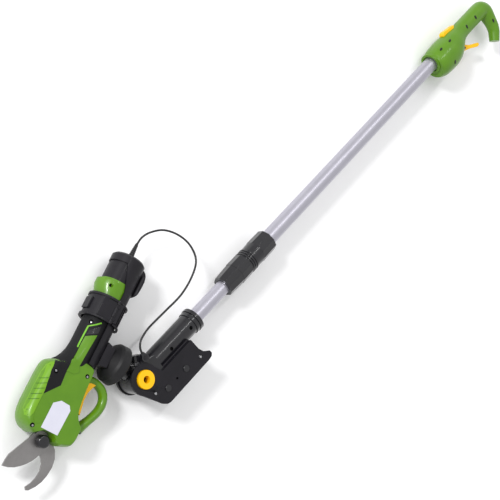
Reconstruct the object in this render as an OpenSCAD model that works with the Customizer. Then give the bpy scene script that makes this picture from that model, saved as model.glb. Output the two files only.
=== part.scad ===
// Cordless pruning shear held in a cradle on a telescopic pole, lying on its side.
// Millimetres. X runs along the pole to its handle, Z is up, the tilt hinge stands at the origin.

/* [Pole] */
// Outside diameter of the outer pole tube
pole_outer_d = 25; // [23:0.5:28]
// Wall of both pole tubes
pole_wall = 1; // [0.8:0.1:1.4]
// Height of the pole axis above the floor
axis_height = 31; // [31:0.5:34]
// Distance from the hinge to the lower face of the twist clamp
clamp_start = 207; // [170:1:280]
// Length of the twist clamp from nut to sleeve
clamp_length = 114; // [104:1:130]
// Outside radius of the twist clamp
clamp_r = 19.4; // [17.5:0.1:20.5]
// Distance from the hinge to the mouth of the pole handle
handle_start = 803; // [720:1:900]
// Radial gap between sliding parts
slide_gap = 0.1; // [0.05:0.01:0.2]
// How far the sliding tube reaches into the outer tube past the clamp
tube_overlap = 455; // [380:5:470]

/* [Bracket] */
// Outside radius of the black socket tube
socket_r = 17; // [15.5:0.1:18.5]
// Distance from the hinge to the open end of the socket
socket_end = 134; // [125:1:150]
// Outside radius of the socket's end ring
ring_r = 19.3; // [18.8:0.1:21]
// Radius of the hinge ears
ear_r = 24; // [22.5:0.1:26]
// Half of the bracket's thickness over the hinge ears
ear_half = 19.5; // [18.5:0.1:20.5]
// Thickness of each hinge ear
ear_t = 3.9; // [3:0.1:4.2]
// Thickness of the flat side plate
plate_t = 3.5; // [2:0.1:4]
// Radius of the round tilt button
button_r = 14; // [12:0.1:14.5]
// Travel of the tilt button
button_travel = 3; // [2:0.1:3.5]

/* [Head] */
// Angle between the pole and the shear's long axis
head_angle = 18.7; // [10:0.1:40]
// Distance from the hinge to the shear's long axis
arm_reach = 96; // [92:0.5:104]
// Distance along the shear from blade pivot to hinge
pivot_back = 147; // [140:1:160]
// Outside radius of the cradle trough
cradle_r = 25.8; // [25.4:0.1:27]
// Wall of the cradle trough
cradle_wall = 2; // [1.6:0.1:2.2]
// How far the cradle's axis stands in front of the shear's axis
cradle_v = 2; // [1.5:0.1:2.5]
// Where the trough starts along the shear
cradle_start = 121; // [118:1:126]
// Where the cradle's end cup closes
cradle_end = 290; // [287:1:298]
// Radius of the big bell nut
bell_r = 31; // [27:0.5:31]

/* [Shear] */
// Half thickness of the shear body
body_half = 21; // [20:0.5:23]
// Wall of the moulded shells
shell_wall = 2.4; // [1.8:0.1:3]
// Half width of the grip, front to back
grip_half = 22.5; // [21.5:0.1:22.6]
// Length of the blades in front of the pivot
blade_reach = 66; // [58:1:72]
// Thickness of each blade
blade_t = 3; // [2.4:0.1:3.4]
// Radius of the domed pivot cap
pivot_cap_r = 9.6; // [8:0.1:11]
// Radius of the drive motor
motor_r = 13.5; // [10:0.5:14]

/* [Cord] */
// Diameter of the thin link cord
cord_d = 3.2; // [2.8:0.1:3.6]

/* [Part] */
// Which node is drawn

/* [Hidden] */
$fn = 48;

touch = 0.02;
joint_gap = 0.3;
inner_d = pole_outer_d - 2 * pole_wall - 2 * slide_gap;
handle_end = handle_start + 212;
inner_end = clamp_start + clamp_length + tube_overlap;
inner_start = 34;
anchor_end = handle_start + 47;
plate_top = ear_half + plate_t;
grip_c = 3;
grip_w = grip_half - 1;
motor_from = 74;
pinion_teeth = 8;
sector_teeth = 20;
gear_m = 1.5;
pinion_u = gear_m * (pinion_teeth + sector_teeth) / 2;
strap_from = 184;
strap_to = 220;
strap_in = cradle_r + joint_gap;
strap_out = strap_in + 2.4;
strap_pin_v = -2;
strap_pin_w = cradle_r + 3.4;
green = [0.42, 0.66, 0.16];
black = [0.14, 0.14, 0.15];
soft = [0.2, 0.2, 0.21];
alloy = [0.8, 0.8, 0.83];
steel = [0.62, 0.61, 0.6];
amber = [0.96, 0.72, 0.05];

// Places children in the pole's frame: X along the pole, Z up, on the pole's axis.
module at_pole() translate([0, 0, axis_height]) children();

// Places children in the shear's frame: X from blades to battery, Y to the front, on its axis.
module at_shear()
  translate([0, 0, axis_height])
    rotate([0, 0, head_angle])
      translate([-pivot_back, arm_reach, 0])
        children();

// A cylinder along X from one station to another.
module rod(from, to, r, r_to = 0)
  translate([from, 0, 0])
    rotate([0, 90, 0])
      cylinder(h = to - from, r1 = r, r2 = r_to > 0 ? r_to : r);

// A tube along X with its bore cut right through.
module pipe(from, to, r, bore)
  difference() {
    rod(from, to, r);
    rod(from - 1, to + 1, bore);
  }

// Stretches a profile drawn across the shear (first axis Y, second axis Z) along X.
module along(from, to)
  translate([from, 0, 0])
    rotate([90, 0, 90])
      linear_extrude(to - from)
        children();

// A slab of the plan outline between two heights.
module slab(low, high)
  translate([0, 0, low])
    linear_extrude(high - low)
      children();

// A disc standing on Z.
module disc(low, high, r)
  translate([0, 0, low])
    cylinder(h = high - low, r = r);

// Turns a profile of radius against station round the X axis.
module turned(profile)
  rotate([0, 90, 0])
    rotate_extrude()
      polygon(profile);

// Half-space blocks that part the mouldings at their seam.
module half(up, size = 2600)
  translate([-size / 2, -size / 2, up ? -touch / 2 : -size + touch / 2])
    cube(size);

// ---------------------------------------------------------------- pole
module outer_tube()
  color(alloy)
    at_pole()
      pipe(clamp_start + 60, anchor_end, pole_outer_d / 2, pole_outer_d / 2 - pole_wall);

module inner_tube()
  color(alloy)
    at_pole()
      pipe(inner_start, inner_end, inner_d / 2, inner_d / 2 - pole_wall);

// Plastic glide pressed in the top end of the sliding tube.
module glide_bush()
  color(black)
    at_pole() {
      pipe(inner_end + touch, inner_end + 6, inner_d / 2, inner_d / 2 - 4);
      pipe(inner_end - 18, inner_end + 0.5, inner_d / 2 - pole_wall - touch, inner_d / 2 - 4);
    }

nut_mid = clamp_start + 0.27 * clamp_length;
nut_top = clamp_start + 0.48 * clamp_length;
sleeve_low = clamp_start + 0.6 * clamp_length;
sleeve_mid = clamp_start + 0.74 * clamp_length;
clamp_end = clamp_start + clamp_length;
nut_bore = clamp_r - 4.4;

// Twist nut: faceted grip, a step ring and an inner bore that runs on the sleeve's spigot.
module clamp_nut()
  color(black)
    at_pole()
      difference() {
        union() {
          translate([clamp_start, 0, 0])
            rotate([0, 90, 0])
              cylinder(h = nut_mid - clamp_start, r1 = clamp_r - 2.2, r2 = clamp_r - 0.6, $fn = 10);
          translate([nut_mid - 0.2, 0, 0])
            rotate([0, 90, 0])
              cylinder(h = nut_top - nut_mid + 0.2, r1 = clamp_r, r2 = clamp_r - 0.3, $fn = 10);
        }
        rod(clamp_start - 1, nut_mid, inner_d / 2 + slide_gap);
        rod(nut_mid - 1, nut_top + 1, nut_bore);
      }

// Split collet that the nut squeezes on the sliding tube.
module clamp_collet()
  color(soft)
    at_pole()
      difference() {
        pipe(nut_mid + 1, sleeve_low - 16, nut_bore - 1.1, inner_d / 2 + slide_gap);
        for (turn = [0, 90])
          rotate([turn, 0, 0])
            translate([nut_mid, -30, -0.8])
              cube([10, 60, 1.6]);
      }

// Fixed sleeve: spigot with three grooves, shoulder and faceted grip, fixed on the outer tube.
module clamp_sleeve()
  color(black)
    at_pole()
      difference() {
        union() {
          rod(sleeve_low - 15, nut_top, nut_bore - 0.2);
          rod(nut_top + joint_gap, sleeve_low, clamp_r - 1.6);
          for (ring = [0 : 2])
            rod(nut_top + 2 + ring * 4.2, nut_top + 4.2 + ring * 4.2, clamp_r - 0.4);
          rod(sleeve_low - 0.2, sleeve_mid, clamp_r - 1.4, clamp_r - 0.6);
          translate([sleeve_mid - 0.2, 0, 0])
            rotate([0, 90, 0])
              cylinder(h = clamp_end - sleeve_mid + 0.2, r1 = clamp_r, r2 = clamp_r - 0.6, $fn = 10);
        }
        rod(sleeve_low - 17, clamp_start + 60, inner_d / 2 + slide_gap);
        rod(clamp_start + 60 - touch, clamp_end + 1, pole_outer_d / 2 + touch);
      }

// ---------------------------------------------------------------- pole handle
mouth = 13;
bulb_y = -8;
bulb_r = 29;
grip_y = 2.5;
hook_x = handle_end - 17;
hook_y = -38;
tip = [handle_end - 34, -60, 0];
screw_at = [[27, 18], [56, 19.5], [42, -22], [119, 4], [152, 4], [187, -27]];

// Outside of the pole handle, or its cavity when inset by the wall.
module handle_solid(inset) {
  translate([handle_start + inset, bulb_y, 0])
    turned([[0, mouth], [22.4 - inset, mouth], [25 - inset, mouth + 4], [bulb_r - 2 - inset, mouth + 14],
      [bulb_r - inset, 40], [bulb_r - inset, 56], [bulb_r - 1.5 - inset, 72],
      [bulb_r - 5 - inset, 90], [bulb_r - 12 - inset, 108], [0, 112 - 2 * inset]]);
  translate([0, grip_y, 0])
    rod(handle_start + 84, hook_x, 15.6 - inset);
  translate([hook_x, grip_y, 0])
    sphere(r = 16 - inset);
  translate([hook_x, hook_y, 0])
    rotate([-90, 0, 0])
      rotate([0, 0, 45])
        cylinder(h = grip_y - hook_y, r1 = 12 - inset, r2 = 15.2 - inset);
  translate([hook_x, hook_y, 0])
    sphere(r = 12.6 - inset);
  translate([hook_x, hook_y, 0])
    rotate([0, 0, atan2(tip[1] - hook_y, tip[0] - hook_x)])
      rotate([0, 90, 0])
        cylinder(h = norm([tip[0] - hook_x, tip[1] - hook_y]), r1 = 11.7 - inset, r2 = 9.4 - inset);
  translate(tip)
    sphere(r = 10 - inset);
}

module handle_cuts() {
  rod(handle_start - 2, handle_start + mouth + 4, pole_outer_d / 2 + 0.5);
  translate([handle_start + 88, -48, -5.5])
    cube([44, 33, 11]);
  translate([handle_start + 58, 14, -6.5])
    cube([46, 22, 13]);
}

module handle_half(up)
  difference() {
    union() {
      difference() {
        union() {
          handle_solid(0);
          rod(handle_start + mouth + 0.2, handle_start + mouth + 6, 20.4);
        }
        handle_solid(shell_wall);
      }
      intersection() {
        handle_solid(0.5);
        union() {
          for (p = screw_at)
            translate([handle_start + p[0], p[1], 0])
              disc(-axis_height, axis_height, 3.6);
          translate([handle_start + 30, -18, -axis_height])
            cube([3, 36, 2 * axis_height]);
        }
      }
    }
    rod(handle_start - 1, anchor_end + 8, pole_outer_d / 2 + touch);
    for (p = screw_at)
      translate([handle_start + p[0], p[1], 0]) {
        disc(-9, 12, 1.6);
        disc(11, 60, 2.6);
      }
    handle_cuts();
    half(!up);
  }

module handle_upper() color(green) at_pole() handle_half(true);

module handle_lower() color(green) at_pole() handle_half(false);

module handle_screws()
  color(steel)
    at_pole()
      for (p = screw_at)
        translate([handle_start + p[0], p[1], 0]) {
          disc(-8.8, 11.2, 1.6 - touch);
          disc(11.1, 13.5, 2.6 - touch);
        }

// Plastic anchor that holds the outer tube in the handle.
module tube_anchor()
  color(black)
    at_pole()
      pipe(anchor_end - 24, anchor_end + 7, pole_outer_d / 2 - pole_wall - touch, 8);

trigger_pivot = [handle_start + 93, -22];

// Amber finger lever under the neck of the pole handle.
module handle_trigger()
  color(amber)
    at_pole()
      difference() {
        union() {
          slab(-4.8, 4.8)
            polygon([for (p = [[92, -16], [98, -17.5], [113, -28], [133, -37.2], [136, -40], [133.5, -43.2],
              [110, -34.5], [92, -27]]) [handle_start + p[0], p[1]]]);
          translate([trigger_pivot[0], trigger_pivot[1], 0])
            disc(-4.8, 4.8, 4.6);
        }
        translate([trigger_pivot[0], trigger_pivot[1], 0])
          disc(-9, 9, 2);
      }

// Amber lock on top of the pole handle.
module handle_lock()
  color(amber)
    at_pole()
      slab(-6, 6)
        polygon([for (p = [[63, 15], [95, 15], [95, 20], [100, 24.6], [98, 26], [66, 34], [63, 32.5]])
          [handle_start + p[0], p[1]]]);

// Switch body with the pivot pin of the trigger.
module handle_switch()
  color(black)
    at_pole() {
      translate([handle_start + 62, -13, -7])
        cube([24, 20, 14]);
      translate([trigger_pivot[0], trigger_pivot[1], 0])
        disc(-12, 12, 2 - slide_gap / 2);
      translate([handle_start + 70, -13, -12])
        cube([8, 8, 5.1]);
      translate([handle_start + 74, -24, -12])
        cube([20.5, 13, 3]);
    }

// Coil that returns the pole handle's trigger.
module trigger_spring()
  color(steel)
    at_pole()
      translate([trigger_pivot[0], trigger_pivot[1], 0])
        for (ring = [0 : 3])
          translate([0, 0, 5.6 + ring * 1.25])
            rotate_extrude()
              translate([3.1, 0])
                circle(r = 0.65, $fn = 16);

// ---------------------------------------------------------------- bracket
clip_at = [19, 25];
thumb_angle = 64;
thumb_h = 8;
plate_screw_at = [[94, -41], [0, -27.5]];
plate_boss_at = [[21, -36], [63, -36]];
bracket_screw_at = [66, 112];

// Plan of the flat side plate, its round end about the hinge.
module plate_plan()
  difference() {
    union() {
      circle(r = ear_r);
      translate([clip_at[0], clip_at[1]])
        circle(r = 6.5);
      polygon([[3, ear_r - 0.3], [12, 20.5], [20, 13], [30, -10.5], [97, -10.5], [99, -29], [103, -38],
        [109, -42.5], [112.5, -45], [113, -50], [109.5, -53.5], [102, -54.5], [11, -54.5], [5, -52.5],
        [-1, -46.5], [-8, -34], [-ear_r + 1, -7]]);
      polygon([[0, 10], [clip_at[0] + 4, clip_at[1] - 7], [clip_at[0] - 4, clip_at[1] + 5]]);
    }
    circle(r = button_r + 1.2);
  }

module side_plate()
  color(black)
    at_pole()
      difference() {
        slab(ear_half, plate_top)
          plate_plan();
        for (p = plate_screw_at)
          translate([p[0], p[1], 0])
            disc(0, 60, 3.6);
        translate([42, -36, 0])
          disc(0, 60, 2);
        for (p = plate_boss_at)
          translate([p[0], p[1], 0])
            disc(plate_top - 1, 60, 4.4);
      }

// Upper half of the socket tube with its hinge ear and the web under the side plate.
module bracket_upper()
  color(black)
    at_pole()
      difference() {
        union() {
          rod(25, socket_end, socket_r);
          rod(socket_end - 13, socket_end - 7, ring_r - 0.9);
          rod(socket_end - 6, socket_end, ring_r);
          slab(ear_half - ear_t, ear_half - touch)
            union() {
              circle(r = ear_r - 0.5);
              translate([clip_at[0], clip_at[1]])
                circle(r = 6);
              polygon([[0, 10], [clip_at[0] + 4, clip_at[1] - 6], [clip_at[0] - 4, clip_at[1] + 4]]);
              polygon([[0, -ear_r + 0.6], [36, -16], [36, 14], [6, ear_r - 2]]);
            }
          slab(9, ear_half - touch)
            polygon([[30, -13], [93, -13], [95, -30], [103, -46], [100, -49.5], [30, -49.5]]);
          slab(ear_half - ear_t, ear_half - touch)
            polygon([[-6, -16], [34, -14], [34, -49.5], [12, -49.5], [2, -43]]);
        }
        rod(20, socket_end + 1, inner_d / 2 + touch);
        slab(-60, ear_half - ear_t - 0.1)
          circle(r = ear_r);
        disc(0, 60, button_r + 0.3);
        slab(-1, 15)
          polygon([[36, -20], [86, -20], [88, -32], [92, -43], [36, -43]]);
        for (x = bracket_screw_at)
          translate([x, 0, 0]) {
            disc(0, 60, 1.7);
            disc(inner_d / 2 + 2, 60, 3);
          }
        for (p = plate_screw_at)
          translate([p[0], p[1], 0])
            disc(5, 60, 1.5);
        half(false);
      }

// Lower half of the socket tube with the other ear and its foot.
module bracket_lower()
  color(black)
    at_pole()
      difference() {
        union() {
          rod(25, socket_end, socket_r);
          rod(socket_end - 13, socket_end - 7, ring_r - 0.9);
          rod(socket_end - 6, socket_end, ring_r);
          slab(-ear_half, -ear_half + ear_t)
            union() {
              circle(r = ear_r);
              polygon([[0, -ear_r + 0.6], [36, -16], [36, 16], [0, ear_r - 0.6]]);
            }
          disc(-axis_height, -ear_half + 1, 12);
        }
        rod(20, socket_end + 1, inner_d / 2 + touch);
        slab(-ear_half + ear_t + 0.1, 60)
          circle(r = ear_r);
        disc(-60, 0, 4 + touch);
        disc(-60, -axis_height + 7, 7.3);
        for (x = bracket_screw_at)
          translate([x, 0, 0])
            disc(-15, 0, 1.5 + touch);
        half(true);
      }

module bracket_screws()
  color(steel)
    at_pole()
      for (x = bracket_screw_at)
        translate([x, 0, 0]) {
          disc(inner_d / 2 + touch, inner_d / 2 + 2.1, 1.7 - touch);
          disc(inner_d / 2 + 2 + touch, inner_d / 2 + 4, 3 - touch);
        }

module plate_screws()
  color(steel)
    at_pole()
      for (p = plate_screw_at)
        translate([p[0], p[1], 0]) {
          disc(ear_half - 3.5, ear_half + 0.1, 1.5 - touch);
          disc(ear_half + touch, ear_half + 2.6, 3.4);
        }

// Hinge bolt, with its round head under the tilt button's hole.
module hinge_pin()
  color([0.45, 0.25, 0.12])
    at_pole()
      disc(-axis_height, 14, 4 - touch);

module hinge_nut()
  color(steel)
    at_pole()
      difference() {
        translate([0, 0, -axis_height + 1.5])
          cylinder(h = 5.4, r = 7.2, $fn = 6);
        disc(-60, 0, 4);
      }

arm_half = ear_half - ear_t - 0.5;

module tilt_button()
  color(amber)
    at_pole()
      difference() {
        union() {
          disc(9.5, plate_top + 4, button_r - 0.6);
          disc(ear_half, plate_top + 3.4, button_r);
        }
        disc(0, 60, 5.5);
        disc(0, 14.5, 9.4);
      }

module tilt_spring()
  color(steel)
    at_pole()
      translate([0, 0, 5.4])
        for (ring = [0 : 3])
          translate([0, 0, ring * 2.9])
            difference() {
              disc(-0.6, ring < 3 ? 2.4 : 0.3, 8.8);
              disc(-2, 4, 7.2);
              translate([-12, -12, 0.3])
                cube([24, ring % 2 ? 22 : 10, 1.9]);
            }

module cord_clip()
  color(black)
    at_pole()
      translate([clip_at[0], clip_at[1], 0])
        difference() {
          union() {
            disc(plate_top + touch, plate_top + 4.2, 6.3);
            slab(plate_top + touch, plate_top + 4.2)
              polygon([[-4, 2], [4, 2], [3.4, 8.6], [-2.6, 8.6]]);
          }
          disc(0, 60, 3.3);
          translate([0.6, 3.6, plate_top + 2.2])
            rotate([-90, 0, 0])
              cylinder(h = 9, r = cord_d / 2 + 0.3);
        }

module clip_screw()
  color(steel)
    at_pole()
      translate([clip_at[0], clip_at[1], 0])
        disc(plate_top + touch, plate_top + 4.6, 3.2);

// Steel lug that carries the thumb screw.
module thumb_lug()
  color(steel)
    at_pole()
      rotate([0, 0, thumb_angle])
        difference() {
          union() {
            translate([ear_r - 0.4, -6.5, 0])
              cube([2, 13, ear_half - ear_t - touch]);
            translate([18, -6.5, ear_half - ear_t - 2.05])
              cube([8, 13, 2]);
          }
          translate([20, 0, thumb_h])
            rotate([0, 90, 0])
              cylinder(h = 12, r = 2.6);
          disc(-5, ear_half - ear_t + 1, arm_r + joint_gap);
        }

// Knurled thumb screw of the tilt lock.
module thumb_screw()
  color(black)
    at_pole()
      rotate([0, 0, thumb_angle])
        translate([0, 0, thumb_h])
          difference() {
            union() {
              rod(arm_r + 0.5, 30, 2.5);
              rod(ear_r + 2.2, 36, 7);
            }
            for (turn = [0 : 20 : 340])
              rotate([turn, 0, 0])
                translate([ear_r + 3.6, 6.9, -0.6])
                  cube([9, 2, 1.2]);
          }

// ---------------------------------------------------------------- head
arm_r = 21.8;
stud_r = 8;
bell_v = -60;
cradle_back = -34.5;

// Places children on the stud: Z from the hinge towards the cradle.
module at_stud()
  at_shear()
    translate([pivot_back, -arm_reach, 0])
      rotate([-90, 0, 0])
        children();

module arm()
  color(black)
    at_stud()
      difference() {
        union() {
          rotate([90, 0, 0])
            disc(-arm_half, arm_half, arm_r);
          disc(8, arm_reach + bell_v + 6, 11.5);
          disc(30, arm_reach + cradle_back - touch, stud_r);
        }
        rotate([90, 0, 0])
          disc(-60, 60, 4 + slide_gap);
        rotate([90, 0, 0])
          disc(4.6, 60, button_r - 0.2);
      }

// Big bell nut: hollow towards the hinge, narrow end against the cradle's back.
module bell_nut()
  color(soft)
    at_stud()
      difference() {
        rotate_extrude()
          polygon([[0, arm_reach + bell_v], [bell_r - 2, arm_reach + bell_v],
            [bell_r, arm_reach + bell_v + 2], [bell_r - 1.2, arm_reach + bell_v + 14],
            [bell_r - 4, arm_reach + bell_v + 17.5], [15, arm_reach + cradle_back - joint_gap],
            [0, arm_reach + cradle_back - joint_gap]]);
        disc(0, arm_reach + bell_v + 7, bell_r - 5);
        disc(0, 200, stud_r + slide_gap);
      }

// Cross section round the cradle's axis.
module ring_plan(r_in, r_out)
  difference() {
    circle(r = r_out);
    circle(r = r_in);
  }

// Places children on the cradle's axis in the shear's frame.
module at_cradle() at_shear() translate([0, cradle_v, 0]) children();

// What the trough leaves open in front; its lips slope forwards to the end cup.
module cradle_front()
  slab(-60, 60)
    polygon([[cradle_start - 2, -3.5], [237, -3.5], [cradle_end - 14, 11], [cradle_end - 14, 60],
      [cradle_start - 2, 60]]);

module cradle()
  color(black)
    at_cradle()
      difference() {
        union() {
          along(cradle_start, cradle_end - 14)
            ring_plan(cradle_r - cradle_wall, cradle_r);
          slab(-15, 15)
            polygon([[243, -cradle_r + 1.2], [249, -30], [270, -31], [cradle_end - 14, -29],
              [cradle_end - 14, -cradle_r + 1.2]]);
          slab(-16, 16)
            polygon([[pivot_back - 18, -cradle_r + 4], [pivot_back - 15, cradle_back - cradle_v],
              [pivot_back + 15, cradle_back - cradle_v], [pivot_back + 18, -cradle_r + 4]]);
          for (u = [strap_from + 6, strap_to - 11])
            translate([u, strap_pin_v - 4, cradle_r - 3])
              cube([5, 5, 9]);
          for (u = [238, 262])
            translate([u, -10, -axis_height])
              cube([4, 20, axis_height - cradle_r + 2]);
        }
        rod(cradle_start - 1, cradle_end, cradle_r - cradle_wall);
        difference() {
          cradle_front();
          slab(-60, -cradle_r + cradle_wall / 2)
            square([600, 22], center = true);
          for (u = [strap_from + 6, strap_to - 11])
            translate([u, strap_pin_v - 4, cradle_r - 3])
              cube([5, 5, 9]);
        }
        translate([0, strap_pin_v, strap_pin_w])
          rod(strap_from, strap_to, 1.6);
      }

// End cup that goes round the battery, with the cord's boss.
module cradle_cup()
  color(black)
    at_cradle() {
      difference() {
        union() {
          rod(cradle_end - 14 + touch, cradle_end - 3, cradle_r);
          rod(cradle_end - 3.1, cradle_end, cradle_r, cradle_r - 3);
        }
        rod(cradle_end - 30, cradle_end - 3, cradle_r - cradle_wall);
        translate([0, -cradle_v, 0])
          rod(cradle_end - 10, cradle_end + 1, 3.4);
      }
    }

// Hinged strap with a rim at each end.
module strap_plan(r_in, r_out)
  difference() {
    ring_plan(r_in, min(r_out, axis_height - 0.4));
    polygon([[0, 0], [-9, 100], [-120, 100], [-120, -100], [22, -100]]);
  }

module strap()
  color(black)
    at_cradle()
      difference() {
        union() {
          along(strap_from, strap_to)
            strap_plan(strap_in, strap_out);
          for (u = [strap_from, strap_to - 3])
            along(u, u + 3)
              strap_plan(strap_in, strap_out + 3.4);
          translate([0, strap_pin_v, strap_pin_w])
            rod(strap_from, strap_to, 3);
        }
        for (u = [strap_from + 6, strap_to - 11])
          translate([u - joint_gap, strap_pin_v - 10, cradle_r - 6])
            cube([5 + 2 * joint_gap, 20, 20]);
        rod(strap_from - 1, strap_to + 1, cradle_r + joint_gap);
        translate([0, strap_pin_v, strap_pin_w])
          rod(strap_from - 1, strap_to + 1, 1.6);
      }

module strap_pin()
  color(steel)
    at_cradle()
      translate([0, strap_pin_v, strap_pin_w])
        rod(strap_from + 0.6, strap_to - 0.6, 1.6 - slide_gap);

// Latch tab on the front of the strap.
module strap_latch()
  color(black)
    at_cradle()
      difference() {
        translate([strap_from + 9, strap_out - 2, -8])
          cube([18, 4.2, 16]);
        rod(strap_from, strap_to, strap_out + touch);
      }

module strain_relief()
  color(black)
    at_shear() {
      rod(cradle_end - 3.3, cradle_end + 0.5, 3.3);
      rod(cradle_end + touch, cradle_end + 5, 5);
      rod(cradle_end + 4.9, cradle_end + 27, 3.9, 2.4);
    }

// Route of the link cord, from the boss on the cup to the clip on the bracket.
cord_lift = [31, 32, 36, 40, 44, 47.5, 51, 53.5, 55.5, 57, 57.6, 57.6, 57.4, 57, 56.5, 56.2];
cord_plan = [[135, 147], [157, 146], [177, 135], [190, 115], [194, 92], [186, 70], [163, 58],
  [129, 51], [92, 52], [66, 53.4], [50, 53.6], [37.6, 51.6], [28.6, 48.4], [22.4, 42.4],
  [19.8, 35.6], [19.6, 29.5]];
cord_per = 4;

// A point on the smooth route between route points i and i + 1.
function cord_at(i) = [cord_plan[i][0], cord_plan[i][1], cord_lift[i]];
function cord_mid(i, t) =
  let (n = len(cord_plan) - 1, a = cord_at(max(i - 1, 0)), b = cord_at(i),
    c = cord_at(min(i + 1, n)), d = cord_at(min(i + 2, n)))
  0.5 * (2 * b + (c - a) * t + (2 * a - 5 * b + 4 * c - d) * t * t + (3 * b - a - 3 * c + d) * t * t * t);
cord_line = [for (i = [0 : len(cord_plan) - 2]) for (k = [0 : cord_per - 1]) cord_mid(i, k / cord_per),
  cord_at(len(cord_plan) - 1)];

module link_cord() {
  n = len(cord_line);
  sides = 8;
  rings = [for (i = [0 : n - 1])
    let (d = cord_line[min(i + 1, n - 1)] - cord_line[max(i - 1, 0)],
      side = cross(d, [0, 0, 1]) / norm(cross(d, [0, 0, 1])),
      up = cross(side, d) / norm(cross(side, d)))
    for (k = [0 : sides - 1])
      cord_line[i] + cord_d / 2 * (cos(360 * k / sides) * side + sin(360 * k / sides) * up)];
  color(black)
    polyhedron(points = rings, faces = concat(
      [[for (k = [0 : sides - 1]) k]],
      [[for (k = [sides - 1 : -1 : 0]) (n - 1) * sides + k]],
      [for (i = [0 : n - 2]) for (k = [0 : sides - 1])
        [i * sides + k, (i + 1) * sides + k, (i + 1) * sides + (k + 1) % sides, i * sides + (k + 1) % sides]]));
}

// ---------------------------------------------------------------- shear
grip_from = 122;
grip_to = 218;
collar_to = 247;
loop_c = [78, -43];

// Front outline of the body, moved back by a drop, with all that lies behind it.
module front_plan(drop)
  translate([0, -drop])
    polygon([[-4, 10], [2, 27], [5, 36.5], [10, 45], [18, 50], [32, 52.3], [55, 52.5], [80, 52.4],
      [93, 51.6], [100, 48.5], [106, 42], [111, 35.5], [117, 31.5], [124, 31], [124, -70], [-4, -70]]);

// Plan of the whole body about the blade pivot, with the finger ring.
module body_plan()
  difference() {
    intersection() {
      front_plan(0);
      polygon([[0, 16], [0, 60], [122, 60], [122, -20], [114, -23], [114.5, -35], [113.6, -46],
        [110.5, -55], [104.5, -62], [95, -66.5], [84, -67.5], [70, -65], [56, -59.5], [43, -51],
        [16, -43.5], [11, -40], [6, -28], [2, -18]]);
    }
    circle(r = 17);
  }

// The tall part of the body, without the finger ring.
module tall_plan(drop)
  intersection() {
    body_plan();
    front_plan(drop);
    polygon([[-10, 70], [130, 70], [130, -18], [110, -20], [97, -20.6], [80, -22.1], [60, -24.1],
      [49, -29], [43, -36], [38, -44], [30, -60], [-10, -60]]);
  }

// The finger opening; the trigger closes its upper side.
module loop_plan()
  polygon([[50, -41], [53, -37], [60, -31], [74, -25], [98, -24], [104, -29], [104.5, -36], [103.5, -44],
    [100, -51.5], [94, -55.5], [84, -56.5], [72, -54.5], [60, -49.5]]);

module grip_oval(grow)
  translate([grip_c, 0])
    scale([1, (grip_w + grow) / (grip_half + grow)])
      circle(r = grip_half + grow);

// Steps of the rounded body: half height, drop of the front ridge and inset all round.
body_steps = [[12, 1.5, 0.3], [15.5, 4.5, 1.1], [18.6, 8.5, 2.1], [body_half, 12.5, 3.4]];

// Solid of both shells together, or of the cavity when inset.
module shell_solid(inset) {
  slab(-8 + inset, 8 - inset)
    offset(delta = -inset)
      difference() {
        body_plan();
        if (inset == 0)
          loop_plan();
      }
  for (b = body_steps)
    slab(-b[0] + inset, b[0] - inset)
      offset(delta = -b[2] - inset)
        tall_plan(b[1]);
  along(grip_from - 2 - 3 * inset, grip_to - 0.2)
    grip_oval(-2 - inset);
}

shell_screw_at = [[89, 35], [46, -45], [108, -12.5], [12, 31], [176, 17]];

module shell_half(up)
  difference() {
    union() {
      difference() {
        shell_solid(0);
        difference() {
          shell_solid(shell_wall);
          slab(-60, 60)
            offset(delta = shell_wall)
              loop_plan();
        }
      }
      intersection() {
        shell_solid(0.4);
        for (p = shell_screw_at)
          translate([p[0], p[1], 0])
            disc(-60, 60, 3.6);
      }
      for (side = [-1, 1])
        slab(side > 0 ? 4 : -8, side > 0 ? 8 : -4)
          intersection() {
            offset(delta = -1)
              tall_plan(2);
            difference() {
              circle(r = 26);
              circle(r = 18);
              translate([-30, -30])
                square([60, 30]);
            }
          }
    }
    for (p = shell_screw_at)
      translate([p[0], p[1], 0]) {
        disc(-9, 10, 1.5);
        disc(9, 60, 2.7);
      }
    slab(-7.2, 7.2)
      polygon([[48, -40], [60, -20], [112, -16], [111, -41], [103, -41], [100, -36], [58, -36]]);
    slab(-4.2, 6.4)
      polygon([[-10, -60], [8, -34], [30, -30], [36, -14], [38, 14], [30, 26], [6, 26], [-10, 60]]);
    half(!up);
  }

module shell_upper() color(green) at_shear() shell_half(true);

module shell_lower() color(green) at_shear() shell_half(false);

module shell_screws()
  color(steel)
    at_shear()
      for (p = shell_screw_at)
        translate([p[0], p[1], 0]) {
          disc(-8.8, 9.2, 1.5 - touch);
          disc(9.1, 11.4, 2.7 - touch);
        }

// Rubber skin on the grip, one half on each shell.
module grip_skin(up)
  difference() {
    along(grip_from + touch, grip_to)
      difference() {
        grip_oval(0);
        grip_oval(-2 + touch);
      }
    translate([176, 17, 0])
      disc(0, 60, 3.4);
    half(!up);
  }

module grip_upper() color(soft) at_shear() grip_skin(true);

module grip_lower() color(soft) at_shear() grip_skin(false);

collar_grip = 23.6;

// Green collar behind the grip that takes the battery.
module rear_collar()
  color(green)
    at_shear()
      difference() {
        union() {
          translate([0, grip_c + 0.5, 0])
            rod(grip_to + touch, collar_to, collar_grip);
          hull()
            for (p = [[grip_to + 3, 0.5, 1], [grip_to + 17, 6.5, 8]])
              translate([0, grip_c + p[1], 0])
                rod(p[0], p[0] + p[2], collar_grip - 0.1);
        }
        translate([0, grip_c, 0])
          rod(grip_to + 3, collar_to + 1, collar_grip - 1.7);
        translate([0, grip_c, 0])
          rod(grip_to - 1, grip_to + 4, 14);
        translate([235, 20, 8])
          disc(0, 60, 2.7);
      }

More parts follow.
